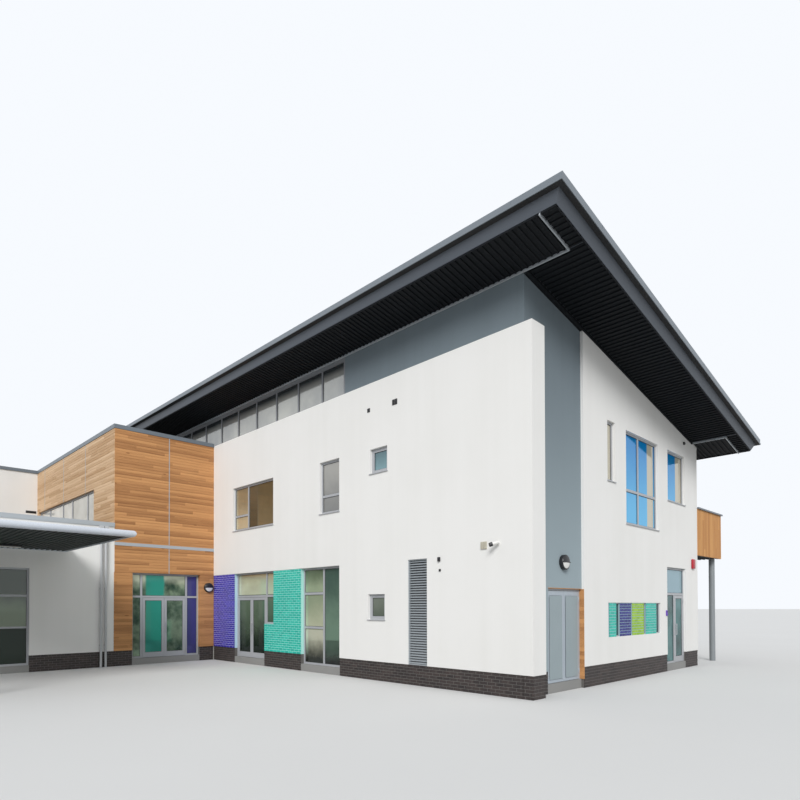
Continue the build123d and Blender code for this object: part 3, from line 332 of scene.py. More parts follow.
class Piece:
    """A new piece: parts are shaped on the bench and then added where they belong."""

    def __init__(self):
        self.bm = bmesh.new()

    def add(self, part, place, material=0):
        """Sets a part in its place. The number is that of its material in the piece."""
        for face in part.faces:
            face.material_index = material
        bmesh.ops.transform(part, matrix=place, verts=part.verts[:])
        if place.determinant() < 0:
            bmesh.ops.reverse_faces(part, faces=part.faces[:])
        carrier = bpy.data.meshes.new("carrier")
        part.to_mesh(carrier)
        part.free()
        self.bm.from_mesh(carrier)
        bpy.data.meshes.remove(carrier)
        return self

    def done(self, name, materials, slot, body=BUILDING, replaces=(), smooth=None):
        """Makes the object. Smooth is the angle in degrees above which an edge stays sharp."""
        mesh = bpy.data.meshes.new(name)
        self.bm.to_mesh(mesh)
        self.bm.free()
        for material in materials:
            mesh.materials.append(material)
        made = bpy.data.objects.new(name, mesh)
        bpy.context.scene.collection.objects.link(made)
        if smooth:
            mesh.shade_smooth()
            mesh.set_sharp_from_angle(angle=math.radians(smooth))
        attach(made, body)
        if replaces:
            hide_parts(*replaces)
        print(name, len(mesh.polygons), "faces")


print("pieces ride on", BUILDING, "or on a door leaf")

# %% [markdown]
# Render is a thin trowelled coat. Up close it has fine sandy grain, and over metres it goes
# a little lighter and darker, with faint rain marks that run down. All of that is noise at
# three scales. The grain is bump, because it is far too fine for a mesh. The grey coat is
# painted lighter low down, as painted light where the overhang's shade doesn't reach it.


# %% Render
GRAIN = 0.0012
OVERHANG_SHADE_LEVEL, OVERHANG_SHADE_REACH = 5.0, 3.5


def rendered(base, dirt):
    def build(place):
        cloud = place.noise(0.35, 3)
        streak = place.scaled(2.5, 2.5, 0.12).noise(1.0, 3)
        soil = (cloud * 0.6 + streak * 0.4).above(0.56, 0.2)
        return {
            "Base Color": (soil * 0.5).blend(base, dirt),
            "Roughness": 0.85 + cloud * 0.1,
            "Bump": (place.noise(260, 2), GRAIN),
        }

    return build


def grey_rendered(place):
    values = rendered(colour(0.17, 0.21, 0.235), colour(0.13, 0.16, 0.18))(place)
    # painted light: the grey coat is lighter below the overhang's shade
    below_overhang_shade = 1 - place.part("Z").above(OVERHANG_SHADE_LEVEL, OVERHANG_SHADE_REACH)
    return {**values, "Base Color": below_overhang_shade.blend(values["Base Color"], colour(0.33, 0.40, 0.43))}


white_rendered = rendered(colour(0.86, 0.85, 0.825), colour(0.78, 0.77, 0.735))
paint(
    finish("white_render", white_rendered), "front_wall_upper", "front_wall_lower",
    "corner_pier", "gable_wall", "gable_wall_over_door", "rear_wall", "west_wall",
    "wing_side_walls", "left_front_walls", "low_block_side_wall",
)
paint(
    finish("grey_render", grey_rendered),
    "grey_wall_front", "grey_gable_pier", "grey_gable_lintel",
)

# %% [markdown]
# Indoors there is only painted plaster and power-floated concrete, seen dimly through the
# glass. Both are soft, pale and matt. A picture of them would repeat over so long a wall, so
# slow noise in the colour and fine noise in the bump stand for the marks of the float.


# %% Plaster and concrete
def plaster(place):
    cloud = place.noise(0.8, 3)
    return {
        "Base Color": cloud.blend(colour(0.42, 0.41, 0.38), colour(0.48, 0.47, 0.44)),
        "Roughness": 0.9,
        "Bump": (place.noise(90, 2), 0.001),
    }


def concrete(place):
    cloud = place.noise(0.6, 6)
    return {
        "Base Color": cloud.blend(colour(0.22, 0.22, 0.215), colour(0.34, 0.335, 0.32)),
        "Roughness": 0.8 + cloud * 0.15,
        "Bump": (place.noise(40, 6), 0.0015),
    }


paint(finish("inner_plaster", plaster), "bar_inner_wall", "recess_backing")
paint(finish("concrete", concrete), "ground_slab", "first_floor")

# %% [markdown]
# The roof edge, trims, frames and posts are sheet or extrusions with a baked paint. Such
# paint is even, so what shows is a slight ripple of the sheet, a soft gloss and some dust.
# One recipe serves all of them, with the colour and gloss of each. Moulded plastic and
# rubber look alike at this size, so they use it too.


# %% Painted metal and plastic
RIPPLE = 0.0006
LOW_ROOF_LEVEL = 5.0
ROOF_GREY = colour(0.16, 0.185, 0.21)


def painted(base, rough, dust=0.25, gloss=0.5):
    def build(place):
        paler = tuple(min(1, c * 1.25 + 0.015) for c in base[:3])
        dusty = place.noise(0.9, 4).above(0.5, 0.3) * dust
        return {
            "Base Color": dusty.blend(base, colour(*paler)),
            "Roughness": rough + place.noise(35, 3) * 0.12,
            "Specular IOR Level": gloss,
            "Bump": (place.noise(5, 2), RIPPLE),
        }

    return build


def coping(place):
    """The low block's coping is of the same sheet in a paler grey."""
    values = painted(ROOF_GREY, 0.35)(place)
    high = place.part("Z").above(LOW_ROOF_LEVEL)
    return {**values, "Base Color": high.blend(colour(0.42, 0.45, 0.47), values["Base Color"])}


SOFFIT_BLACK = colour(0.0035, 0.005, 0.007)
roof_edge = finish("roof_edge", painted(ROOF_GREY, 0.35))
soffit_sheet = finish("soffit_sheet", painted(SOFFIT_BLACK, 0.6, dust=0.1, gloss=0.22))
canopy_black = finish("canopy_black", painted(colour(0.016, 0.024, 0.022), 0.45))
grey_metal = finish("grey_metal", painted(colour(0.40, 0.41, 0.43), 0.32))
louvre_metal = finish("louvre_metal", painted(colour(0.34, 0.37, 0.39), 0.4))
service_panel = finish("service_panel", painted(colour(0.29, 0.35, 0.37), 0.42))
black_plastic = finish("black_plastic", painted(colour(0.012, 0.012, 0.014), 0.3))
white_plastic = finish("white_plastic", painted(colour(0.72, 0.71, 0.68), 0.3))
beige_plastic = finish("beige_plastic", painted(colour(0.50, 0.47, 0.38), 0.4))
red_plastic = finish("red_plastic", painted(colour(0.42, 0.012, 0.025), 0.25))
purple_plastic = finish("purple_plastic", painted(colour(0.13, 0.05, 0.42), 0.3))
rubber_and_painted_shade = finish("rubber_and_painted_shade", painted(colour(0.012, 0.012, 0.013), 0.7, dust=0.5))

paint(finish("coping", coping), "parapet_copings")
paint(roof_edge, "roof_sheet")
paint(soffit_sheet, "balcony_deck")
paint(
    grey_metal, "window_frames", "window_sills", "door_frames", "class_door_near",
    "class_door_far", "play_door_near", "play_door_far", "gable_door",
)
for name, shade, rough, names in (
    ("roof_fascia", colour(0.07, 0.082, 0.10), 0.38, ["roof_deck"]),
    ("trim_metal", colour(0.40, 0.43, 0.46), 0.35, ["metal_trims"]),
    ("canopy_metal", colour(0.60, 0.64, 0.70), 0.22, ["canopy"]),
    ("grey_steel", colour(0.24, 0.26, 0.27), 0.4, ["round_posts"]),
    ("pale_pipe", colour(0.50, 0.51, 0.52), 0.35, ["downpipes"]),
    ("clerestory_metal", colour(0.19, 0.20, 0.215), 0.35, ["clerestory_frame"]),
    ("service_grey", colour(0.40, 0.45, 0.50), 0.4, ["service_door_near", "service_door_far"]),
):
    paint(finish(name, painted(shade, rough)), *names)

# %% [markdown]
# The flat roofs have a dull grey membrane with dust in its hollows. Its laps are too low to
# show at this distance, so one noise that shifts the colour is enough.


# %% Flat roof membrane
def membrane(place):
    cloud = place.noise(1.2, 6)
    return {
        "Base Color": cloud.blend(colour(0.06, 0.06, 0.063), colour(0.13, 0.128, 0.12)),
        "Roughness": 0.85,
        "Bump": (place.noise(120, 3), 0.002),
    }


paint(finish("flat_roof", membrane), "flat_roofs")

# %% [markdown]
# Western red cedar goes from straw to a deep orange brown, board by board, with a fine
# grain along its length and a few knots. Each board is cut from another trunk, so a random
# value per board sets its tone and also slides the grain, which keeps it from running on
# into the next board. The block's side face is a deep orange and its front is paler, so
# each has its own pair of shades.


# %% Cedar
BOARD_PITCH = 0.1
UPRIGHT_PITCH = 0.149
BOARD_LENGTH = 2.7
BOARD_SLIDE = 0.37
BOARD_START = 50
SIDE_CEDAR = colour(0.67, 0.335, 0.13), colour(0.30, 0.125, 0.04)
FRONT_CEDAR = colour(0.74, 0.52, 0.32), colour(0.43, 0.235, 0.10)
BALCONY_CEDAR = colour(0.66, 0.34, 0.115), colour(0.42, 0.17, 0.045)


def cedar(run, course, pitch, shades):
    """Cedar boards that run along one axis and are stacked along another."""
    pale, deep = shades

    def stretched(place, along, across):
        return place.scaled(*[along if axis == run else across for axis in "XYZ"])

    def build(place):
        along, up = place.part(run) + BOARD_START, place.part(course) + BOARD_START
        board = cells(along, up, BOARD_LENGTH, pitch, BOARD_SLIDE)
        lengthwise = stretched(place, 0.6, 16)
        grain = lengthwise.noise(2.0, 5, 0.6, board * 20)
        fibre = lengthwise.noise(13, 3, 0.7, board * 20)
        knots = 1 - stretched(place, 0.9, 3.2).nearest(1.0).above(0.055, 0.03)
        tone = board * 0.36 + grain * 0.54 + fibre * 0.32 - knots * 0.5
        return {
            "Base Color": tone.above(0.56, 0.36).blend(deep, pale),
            "Roughness": 0.6 + fibre * 0.2,
            "Bump": (fibre, 0.0015),
        }

    return build


cedar_side = finish("cedar_side", cedar("Y", "Z", BOARD_PITCH, SIDE_CEDAR))
cedar_front = finish("cedar_front", cedar("X", "Z", BOARD_PITCH, FRONT_CEDAR))
cedar_upright = finish("cedar_upright", cedar("Z", "Y", UPRIGHT_PITCH, BALCONY_CEDAR))
cedar_back = finish("cedar_back", cedar("Z", "X", UPRIGHT_PITCH, BALCONY_CEDAR))
paint(cedar_side, "block_side_wall", "block_side_piers")
paint(cedar_front, "block_front_wall")
paint(cedar_upright, "balcony_parapet")

# %% [markdown]
# The boards of the block lie level. They are modelled, because the shadow in each joint is
# what makes the wall read as timber. A board is one bevelled bar, sunk a little into the wall,
# and the stack is copied from the same datum everywhere, so that the courses line up round
# the corner and over the doors. The balcony's boards stand upright in panels of four.


# %% Boards
SUNK = 0.006
BOARD_GAP, BOARD_OUT, BOARD_EDGE = 0.007, 0.016, 0.002
UPRIGHT_GAP, UPRIGHT_OUT, UPRIGHT_EDGE = 0.004, 0.008, 0.0015
PANEL_BOARDS = 4
PANEL_STEP = PANEL_BOARDS * UPRIGHT_PITCH + BOARD_GAP
PLINTH_TOP = 0.30
DOOR_HEAD = 3.01
LOW_ROOF_TOP = 4.70
BLOCK_TOP = 7.955
BLOCK_DEPTH, BLOCK_LENGTH = 3.64, 9.868
DOOR_LEFT, DOOR_RIGHT = 0.56, 3.04
WINDOW_LEFT, WINDOW_RIGHT = 2.1, 9.63
WINDOW_FOOT, WINDOW_HEAD = 4.879, 6.14


def level_boards(piece, place, left, right, low, high):
    """Level boards over a rectangle of a wall, in courses that start from the floor."""
    bm = bmesh.new()
    start = math.floor(low / BOARD_PITCH) * BOARD_PITCH
    bar(bm, (left, start, -SUNK), (right, start + BOARD_PITCH - BOARD_GAP, BOARD_OUT))
    bevel(bm, front_edges(bm), BOARD_EDGE)
    repeat(bm, (0, BOARD_PITCH, 0), math.ceil((high - start) / BOARD_PITCH))
    trim(bm, (left, low), (right, high))
    piece.add(bm, place)


def upright_boards(piece, place, length, low, high):
    """Upright boards from a wall's start, in panels with a wider gap between them."""
    bm = bmesh.new()
    for board in range(PANEL_BOARDS):
        start = board * UPRIGHT_PITCH
        bar(bm, (start, low, -SUNK), (start + UPRIGHT_PITCH - UPRIGHT_GAP, high, UPRIGHT_OUT))
    bevel(bm, front_edges(bm), UPRIGHT_EDGE)
    repeat(bm, (PANEL_STEP, 0, 0), math.ceil(length / PANEL_STEP))
    trim(bm, (0, low), (length, high))
    piece.add(bm, place)


block_side = Piece()
for area in (
    (0, BLOCK_DEPTH, DOOR_HEAD, BLOCK_TOP), (0, DOOR_LEFT, PLINTH_TOP, DOOR_HEAD),
    (DOOR_RIGHT, BLOCK_DEPTH + BOARD_OUT, PLINTH_TOP, DOOR_HEAD),
):
    level_boards(block_side, BLOCK_SIDE, *area)
block_side.done("cedar_boards_side", [cedar_side], "cedar")

block_front = Piece()
for area in (
    (0, WINDOW_LEFT, LOW_ROOF_TOP, BLOCK_TOP),
    (WINDOW_LEFT, WINDOW_RIGHT, LOW_ROOF_TOP, WINDOW_FOOT),
    (WINDOW_LEFT, WINDOW_RIGHT, WINDOW_HEAD, BLOCK_TOP),
    (WINDOW_RIGHT, BLOCK_LENGTH, LOW_ROOF_TOP, BLOCK_TOP),
):
    level_boards(block_front, BLOCK_FRONT, *area)
block_front.done("cedar_boards_front", [cedar_front], "cedar")

# %% [markdown]
# The balcony's parapet is boarded on its three outer sides. Its two side runs and its long run
# are separate pieces, because the grain of each material is counted along another axis.

# %% Balcony boards
BALCONY_DEEP, BALCONY_LONG = 2.44, 8.0
SIDE_FOOT, BACK_FOOT, BALCONY_TOP = 3.53, 3.60, 5.12

balcony_side = Piece()
for x, out in ((GABLE_X, 1), (GABLE_X - BALCONY_LONG, -1)):
    side_wall = wall(x, REAR_Y, (0, 1), (out, 0))
    upright_boards(balcony_side, side_wall, BALCONY_DEEP, SIDE_FOOT, BALCONY_TOP)
balcony_side.done("balcony_boards_side", [cedar_upright], "cedar")
balcony_back = Piece()
back_wall = wall(GABLE_X, REAR_Y + BALCONY_DEEP, (-1, 0), (0, 1))
upright_boards(balcony_back, back_wall, BALCONY_LONG, BACK_FOOT, BALCONY_TOP)
balcony_back.done("balcony_boards_back", [cedar_back], "cedar")

# %% [markdown]
# The brickwork stands a few millimetres proud of its mortar, so the CAD solid behind serves
# as the mortar and only the bricks are added, in running bond. One brick is bevelled on its
# front, copied along, copied again half a brick further on a course higher, and the two
# courses are copied upwards.

# %% Brick bond
BRICK, BRICK_STEP = 0.215, 0.225
COURSE, COURSE_STEP = 0.065, 0.075
BRICK_OUT = 0.004
BRICK_EDGE = 0.004


def brickwork(piece, place, left, right, low, high, face):
    """Bricks in running bond over a rectangle of a wall whose mortar is at this depth."""
    bm = bmesh.new()
    first = math.floor(left / BRICK_STEP - 0.5) * BRICK_STEP
    bar(bm, (first, low, face - SUNK), (first + BRICK, low + COURSE, face + BRICK_OUT))
    bevel(bm, front_edges(bm), BRICK_EDGE)
    repeat(bm, (BRICK_STEP, 0, 0), math.ceil((right - first) / BRICK_STEP))
    course = bmesh.ops.duplicate(bm, geom=everything(bm))["geom"]
    moved = [v for v in course if isinstance(v, bmesh.types.BMVert)]
    bmesh.ops.translate(bm, vec=(BRICK_STEP / 2, COURSE_STEP, 0), verts=moved)
    repeat(bm, (0, 2 * COURSE_STEP, 0), math.ceil((high - low) / COURSE_STEP / 2))
    trim(bm, (left, low), (right, high))
    piece.add(bm, place)


print("bricks every", BRICK_STEP, "m in courses of", COURSE_STEP, "m")

# %% [markdown]
# The panels in the recess of the front, and the ribbon of four in the gable, are of coloured
# brick with a thick gloss glaze. It pools unevenly, so each brick differs a little in tone.
# The tone is counted in the same bond as the mesh. The pale mortar takes a tint from the
# glaze beside it.

# %% Glazed bricks
RECESS_FACE = -0.015
TEAL_LEFT, TEAL_RIGHT = 8.53, 10.10
STUB_RIGHT, STUB_TOP = 10.67, 1.22
BLUE_LEFT, BLUE_RIGHT = 12.68, 14.27
RIBBON = 0.98, 1.89
BLUE = colour(0.075, 0.06, 0.50), colour(0.04, 0.032, 0.29)
TEAL = colour(0.045, 0.57, 0.45), colour(0.025, 0.41, 0.33)
LIME = colour(0.36, 0.60, 0.03), colour(0.24, 0.44, 0.02)
DEEP_BLUE = colour(0.03, 0.035, 0.25), colour(0.018, 0.02, 0.15)


def glazed(shades, place_along, foot):
    """A gloss glaze with a tone for each brick of a bond that begins at this foot."""
    base, deep = shades

    def build(place):
        up = place.part("Z") - foot
        tone = cells(place_along(place), up, BRICK_STEP, COURSE_STEP, -0.5)
        pool = place.noise(9, 3)
        return {
            "Base Color": (tone * 0.75 + pool * 0.35).blend(deep, base),
            "Roughness": 0.2 + pool * 0.1,
            "Specular IOR Level": 0.25,
            "Bump": (place.noise(14, 3), 0.002),
        }

    return build


def along_front(place):
    return SLAB_X - place.part("X")


def along_gable(place):
    return place.part("Y") - SLAB_Y


def mortar(place):
    cloud = place.noise(60, 4)
    by_blue = 1 - place.part("X").above(SLAB_X - BLUE_LEFT, 0.01)
    in_gable = place.part("X").above(0.0, 0.01)
    hue = in_gable.blend(colour(0.45, 0.84, 0.77), colour(0.40, 0.56, 0.62))
    return {
        "Base Color": by_blue.blend(hue, colour(0.52, 0.52, 0.86)),
        "Roughness": 0.85 + cloud * 0.1,
        "Bump": (cloud, 0.002),
    }


paint(finish("mortar", mortar), "glazed_brick_panels")
for name, shades, areas in (
    ("blue_bricks", BLUE, [(BLUE_LEFT, BLUE_RIGHT, PLINTH_TOP, DOOR_HEAD)]),
    ("teal_bricks", TEAL, [
        (TEAL_LEFT, TEAL_RIGHT, PLINTH_TOP, DOOR_HEAD),
        (TEAL_RIGHT, STUB_RIGHT, PLINTH_TOP, STUB_TOP),
    ]),
):
    panel = Piece()
    for area in areas:
        brickwork(panel, FRONT, *area, RECESS_FACE)
    glaze = glazed(shades, along_front, FLOOR_LEVEL + PLINTH_TOP)
    panel.done(name, [finish(name, glaze)], "glazed_brick")
for name, shades, left, right in (
    ("ribbon_teal_near", TEAL, 3.96, 4.36), ("ribbon_blue", DEEP_BLUE, 4.58, 5.27),
    ("ribbon_lime", LIME, 5.34, 6.12), ("ribbon_teal_far", TEAL, 6.26, 7.005),
):
    panel = Piece()
    brickwork(panel, GABLE, left, right, *RIBBON, RECESS_FACE)
    glaze = glazed(shades, along_gable, FLOOR_LEVEL + RIBBON[0])
    panel.done(name, [finish(name, glaze)], "glazed_brick")

# %% [markdown]
# The plinth is of dark engineering brick: hard, nearly black, with a slightly gritty face.
# It runs round the whole building and stops at each door, so it is one piece made of many
# runs of the same bond.

# %% Plinth
PLINTH_FACE = -0.02
PLINTH_START = 60
PLINTH_RUNS = [
    # wall, left, right
    (FRONT, 0.02, 0.27), (FRONT, 0.28, 6.58), (FRONT, TEAL_LEFT, STUB_RIGHT),
    (FRONT, BLUE_LEFT, 14.26), (CORNER, 0.02, 0.507), (GREY_GABLE, 0.31, 1.04),
    (GABLE, 2.61, 7.83), (GABLE, 9.37, 10.46), (REAR, 0.31, 29.49), (WEST, 0.31, 21.66),
    (LEFT_FRONT, 0.01, 15.72), (BLOCK_SIDE, 0.01, DOOR_LEFT), (BLOCK_SIDE, DOOR_RIGHT, 6.16),
    (BLOCK_SIDE, 9.46, 11.19),
]


def plinth_brick(place):
    along = place.part("X") + place.part("Y") + PLINTH_START
    tone = cells(along, place.part("Z"), BRICK_STEP, COURSE_STEP, 0.5)
    grit = place.noise(150, 3)
    shade = tone * 0.7 + grit * 0.3
    return {
        "Base Color": shade.blend(colour(0.018, 0.014, 0.014), colour(0.055, 0.04, 0.036)),
        "Roughness": 0.5 + grit * 0.2,
        "Bump": (grit, 0.002),
    }


def plinth_mortar(place):
    cloud = place.noise(40, 4)
    return {
        "Base Color": cloud.blend(colour(0.10, 0.095, 0.09), colour(0.17, 0.16, 0.15)),
        "Roughness": 0.9,
        "Bump": (place.noise(200, 3), 0.002),
    }


paint(finish("plinth_mortar", plinth_mortar), "brick_plinth")
plinth = Piece()
for place, left, right in PLINTH_RUNS:
    brickwork(plinth, place, left, right, -FLOOR_LEVEL, PLINTH_TOP, PLINTH_FACE)
plinth.done("plinth_bricks", [finish("plinth_brick", plinth_brick)], "dark_brick")

# %% [markdown]
# The undersides of the roof and of the canopy are lined with dark ribbed sheet, ribs 150 mm
# apart. The solids show only wide folds. Here each sheet is a thin plate with a row of
# bevelled ribs under it, square to the wall, and it takes the place of the solid one. A strip
# closes the ends of the ribs all round, and an angle trims the lining at the wall heads.

# %% Ribbed linings
RIB_STEP, RIB_WIDTH, RIB_DROP = 0.15, 0.045, 0.03
RIB_EDGE = 0.008
SHEET = 0.006
RIBS_LOW, RIBS_HIGH = -SHEET - RIB_DROP, -SHEET / 2
CLOSER, CLOSER_TOP = 0.02, -0.001
HEAD_DROP = 0.08
TRIM_EDGE = 0.003
CANOPY_UNDER = FLOOR_LEVEL + 3.64
CANOPY_AREA = -12.64, -7.2, -12.87, -6.68
WEST_END, EAST_END = -30.92, 1.46
NEAR_END, FAR_END = -1.15, 11.525
WALL_LENGTH = 10.09
LININGS = [
    # left, right, near, far, and whether the ribs run from left to right
    (-30.54, 1.08, NEAR_END, -0.04, False), (-29.73, 0.07, 10.60, FAR_END, False),
    (0.11, EAST_END, 0.01, WALL_LENGTH, True), (1.13, EAST_END, NEAR_END, -0.01, True),
    (1.13, EAST_END, 10.14, FAR_END, True), (0.08, 1.08, 10.14, FAR_END, False),
    (WEST_END, -29.77, 0.01, WALL_LENGTH, True), (WEST_END, -30.59, NEAR_END, -0.01, True),
    (WEST_END, -30.59, 10.14, FAR_END, True), (-30.54, -29.74, 10.14, FAR_END, False),
]
HEAD_TRIMS = [
    # near left corner, far right corner
    ((0.07, 0), (0.1, WALL_LENGTH)), ((0, 0), (0.07, 2.525)), ((-29.76, 0), (-29.73, WALL_LENGTH)),
]
CLOSERS = [
    # near left corner, far right corner
    ((WEST_END, NEAR_END), (EAST_END, NEAR_END + CLOSER)),
    ((WEST_END, FAR_END - CLOSER), (EAST_END, FAR_END)),
    ((EAST_END - CLOSER, NEAR_END), (EAST_END, FAR_END)),
    ((WEST_END, NEAR_END), (WEST_END + CLOSER, FAR_END)),
]


def ribbed(piece, place, left, right, near, far, level_ribs):
    """A lining over a rectangle, with its top at Z = 0."""
    piece.add(boxed((left, near, -SHEET), (right, far, 0)), place)
    span = far - near if level_ribs else right - left
    count = int((span - RIB_WIDTH) / RIB_STEP) + 1
    edge = (span - (count - 1) * RIB_STEP - RIB_WIDTH) / 2
    if level_ribs:
        start, end, step = (left, near + edge), (right, near + edge + RIB_WIDTH), (0, RIB_STEP, 0)
    else:
        start, end, step = (left + edge, near), (left + edge + RIB_WIDTH, far), (RIB_STEP, 0, 0)
    ribs = bmesh.new()
    bar(ribs, (*start, RIBS_LOW), (*end, RIBS_HIGH))
    bevel(ribs, [e for e in ribs.edges if all(v.co.z < -SHEET for v in e.verts)], RIB_EDGE)
    repeat(ribs, step, count)
    piece.add(ribs, place)


lining = Piece()
for area in LININGS:
    ribbed(lining, ROOF, *area)
for low, high in HEAD_TRIMS:
    lining.add(boxed((*low, -HEAD_DROP), (*high, 0), TRIM_EDGE), ROOF)
for low, high in CLOSERS:
    lining.add(boxed((*low, RIBS_LOW), (*high, CLOSER_TOP), TRIM_EDGE), ROOF)
lining.done("roof_lining", [soffit_sheet], "soffit_sheet", replaces=["roof_soffit"])
canopy_lining = Piece()
under_canopy = Matrix.Translation((0, 0, CANOPY_UNDER))
ribbed(canopy_lining, under_canopy, *CANOPY_AREA, True)
canopy_lining.done("canopy_lining", [canopy_black], "soffit_sheet", replaces=["canopy_soffit"])

# %% [markdown]
# The roof is covered with long metal trays whose edges are folded up into standing seams. The
# seams start behind the front edge, below the highest point. A bump couldn't break the line of
# the eaves as they do, so one bevelled bar is copied across. The upright edge trim comes in
# lengths, and a thin strap covers each joint.

# %% Roof seams and straps
EDGE_LIP = 0.015
EDGE_LOW = 0.235
EDGE_TOP = EDGE_LOW + 0.18
EDGE_X = -31.155 + EDGE_LIP, 1.695 - EDGE_LIP
EDGE_Y = -1.3856 + EDGE_LIP, 11.7599 - EDGE_LIP
SEAM_STEP, SEAM_WIDTH = 0.5, 0.025
SEAM_FIRST, SEAM_BACK, SEAM_SHORT = 0.2, 0.18, 0.05
SEAM_LOW, SEAM_HIGH = EDGE_TOP - 0.005, EDGE_TOP + 0.025
SEAM_EDGE = 0.004
STRAP_FIRST, STRAP_STEP, STRAP_WIDTH = 1.6, 3.0, 0.08
STRAP_LOW, STRAP_HIGH = EDGE_LOW + 0.052, EDGE_TOP - 0.004
STRAP_OUT, STRAP_IN = 0.004, 0.01
STRAPS_ALONG, STRAPS_ACROSS = 11, 4


def strap_depths(edge):
    """How far a strap reaches through the two opposite faces of the edge trim."""
    first, last = edge
    return (first - STRAP_OUT, first + STRAP_IN), (last - STRAP_IN, last + STRAP_OUT)


roof_top = Piece()
seam = EDGE_X[0] + SEAM_FIRST
seams = bmesh.new()
bar(
    seams, (seam, EDGE_Y[0] + SEAM_BACK, SEAM_LOW),
    (seam + SEAM_WIDTH, EDGE_Y[1] - SEAM_SHORT, SEAM_HIGH)
)
bevel(seams, front_edges(seams), SEAM_EDGE)
seam_count = int((EDGE_X[1] - EDGE_X[0] - 2 * SEAM_FIRST) / SEAM_STEP) + 1
repeat(seams, (SEAM_STEP, 0, 0), seam_count)
roof_top.add(seams, ROOF)
for inner, outer in strap_depths(EDGE_Y):
    strap = EDGE_X[0] + STRAP_FIRST
    straps = boxed((strap, inner, STRAP_LOW), (strap + STRAP_WIDTH, outer, STRAP_HIGH))
    repeat(straps, (STRAP_STEP, 0, 0), STRAPS_ALONG)
    roof_top.add(straps, ROOF)
for inner, outer in strap_depths(EDGE_X):
    strap = EDGE_Y[0] + STRAP_FIRST
    straps = boxed((inner, strap, STRAP_LOW), (outer, strap + STRAP_WIDTH, STRAP_HIGH))
    repeat(straps, (0, STRAP_STEP, 0), STRAPS_ACROSS)
    roof_top.add(straps, ROOF)
roof_top.done("roof_seams", [roof_edge], "roof_edge")

# %% [markdown]
# Under the overhanging edge a thin black strip closes the gap to the roof's body. Its black is
# painted shade, standing for the shadow under the lip. It is a flat ring: a grid of one face is
# inset all round, its middle is taken out, and the rest gets a thickness.

# %% Painted shade under the edge
SHADE_STRIP_INNER = 1.565
SHADE_STRIP_THICK = 0.004
SHADE_STRIP_TOP = EDGE_LOW - 0.001

strip = bmesh.new()
sheet = bmesh.ops.create_grid(strip, x_segments=1, y_segments=1, size=0.5)["verts"]
centre = Vector((sum(EDGE_X) / 2, sum(EDGE_Y) / 2, SHADE_STRIP_TOP))
bmesh.ops.scale(strip, vec=(EDGE_X[1] - EDGE_X[0], EDGE_Y[1] - EDGE_Y[0], 1), verts=sheet)
bmesh.ops.translate(strip, vec=centre, verts=sheet)
bmesh.ops.inset_region(
    strip, faces=strip.faces[:], thickness=EDGE_X[1] - SHADE_STRIP_INNER, use_boundary=True,
    use_even_offset=True
)
middle = min(strip.faces, key=lambda face: (face.calc_center_median() - centre).length)
bmesh.ops.delete(strip, geom=[middle], context="FACES_ONLY")
bmesh.ops.solidify(strip, geom=strip.faces[:], thickness=SHADE_STRIP_THICK)
bmesh.ops.recalc_face_normals(strip, faces=strip.faces[:])
# painted shade: this black strip stands for the shadow under the roof's lip
Piece().add(strip, ROOF).done("edge_shade_strip", [rubber_and_painted_shade], "soffit_sheet")

# %% [markdown]
# The service louvre has thin sloping blades close together. One blade is a thin bar that is
# tilted about its own length and copied upwards, because only real blades hide and show what
# is between them as the view changes. Four bevelled bars make the frame, and a black sheet
# stands for the dark behind.

# %% Louvre
LOUVRE_LEFT, LOUVRE_RIGHT = 3.09, 3.76
LOUVRE_BACK, LOUVRE_FACE = -0.095, -0.02
LOUVRE_FRAME = 0.025
FRAME_EDGE = 0.002
BACK_LAP, BACK_THICK = 0.005, 0.003
BLADE_COUNT, BLADE_STEP = 41, 0.0649
BLADE_THICK, BLADE_WIDTH, BLADE_LAP = 0.003, 0.068, 0.002
BLADE_TILT = Matrix.Rotation(math.radians(38), 3, "X")
BLADE_DEPTH = -0.058
left, right = LOUVRE_LEFT + LOUVRE_FRAME, LOUVRE_RIGHT - LOUVRE_FRAME
foot, head = PLINTH_TOP + LOUVRE_FRAME, DOOR_HEAD - LOUVRE_FRAME

louvre = Piece()
blades = boxed(
    (0, -BLADE_THICK / 2, -BLADE_WIDTH / 2),
    (right - left + 2 * BLADE_LAP, BLADE_THICK / 2, BLADE_WIDTH / 2)
)
bmesh.ops.rotate(blades, cent=(0, 0, 0), matrix=BLADE_TILT, verts=blades.verts[:])
first_blade = (left - BLADE_LAP, foot + BLADE_STEP / 2, BLADE_DEPTH)
bmesh.ops.translate(blades, vec=first_blade, verts=blades.verts[:])
repeat(blades, (0, BLADE_STEP, 0), BLADE_COUNT)
louvre.add(blades, FRONT)
for low, high in (
    ((LOUVRE_LEFT, PLINTH_TOP), (left, DOOR_HEAD)),
    ((right, PLINTH_TOP), (LOUVRE_RIGHT, DOOR_HEAD)),
    ((left, PLINTH_TOP), (right, foot)),
    ((left, head), (right, DOOR_HEAD)),
):
    louvre.add(boxed((*low, LOUVRE_BACK), (*high, LOUVRE_FACE), FRAME_EDGE), FRONT)
back = boxed(
    (left - BACK_LAP, foot - BACK_LAP, LOUVRE_BACK),
    (right + BACK_LAP, head + BACK_LAP, LOUVRE_BACK + BACK_THICK)
)
louvre.add(back, FRONT, 1)
finishes = [louvre_metal, black_plastic]
louvre.done("louvre_blades", finishes, "louvre_metal", replaces=["service_louvre"])

# %% [markdown]
# Each pane is held by a black rubber gasket, the thin dark line just inside the frame. It is
# made from the pane itself: a copy of the pane loses its narrow side faces, its broad faces
# are inset, the middles are taken out, and the rings that are left get a little thickness.

# %% Gaskets
GASKET, GASKET_THICK = 0.014, 0.006
PANE_EDGE = 0.03
SAME_PLACE, SAME_PLANE = 0.0001, 0.02


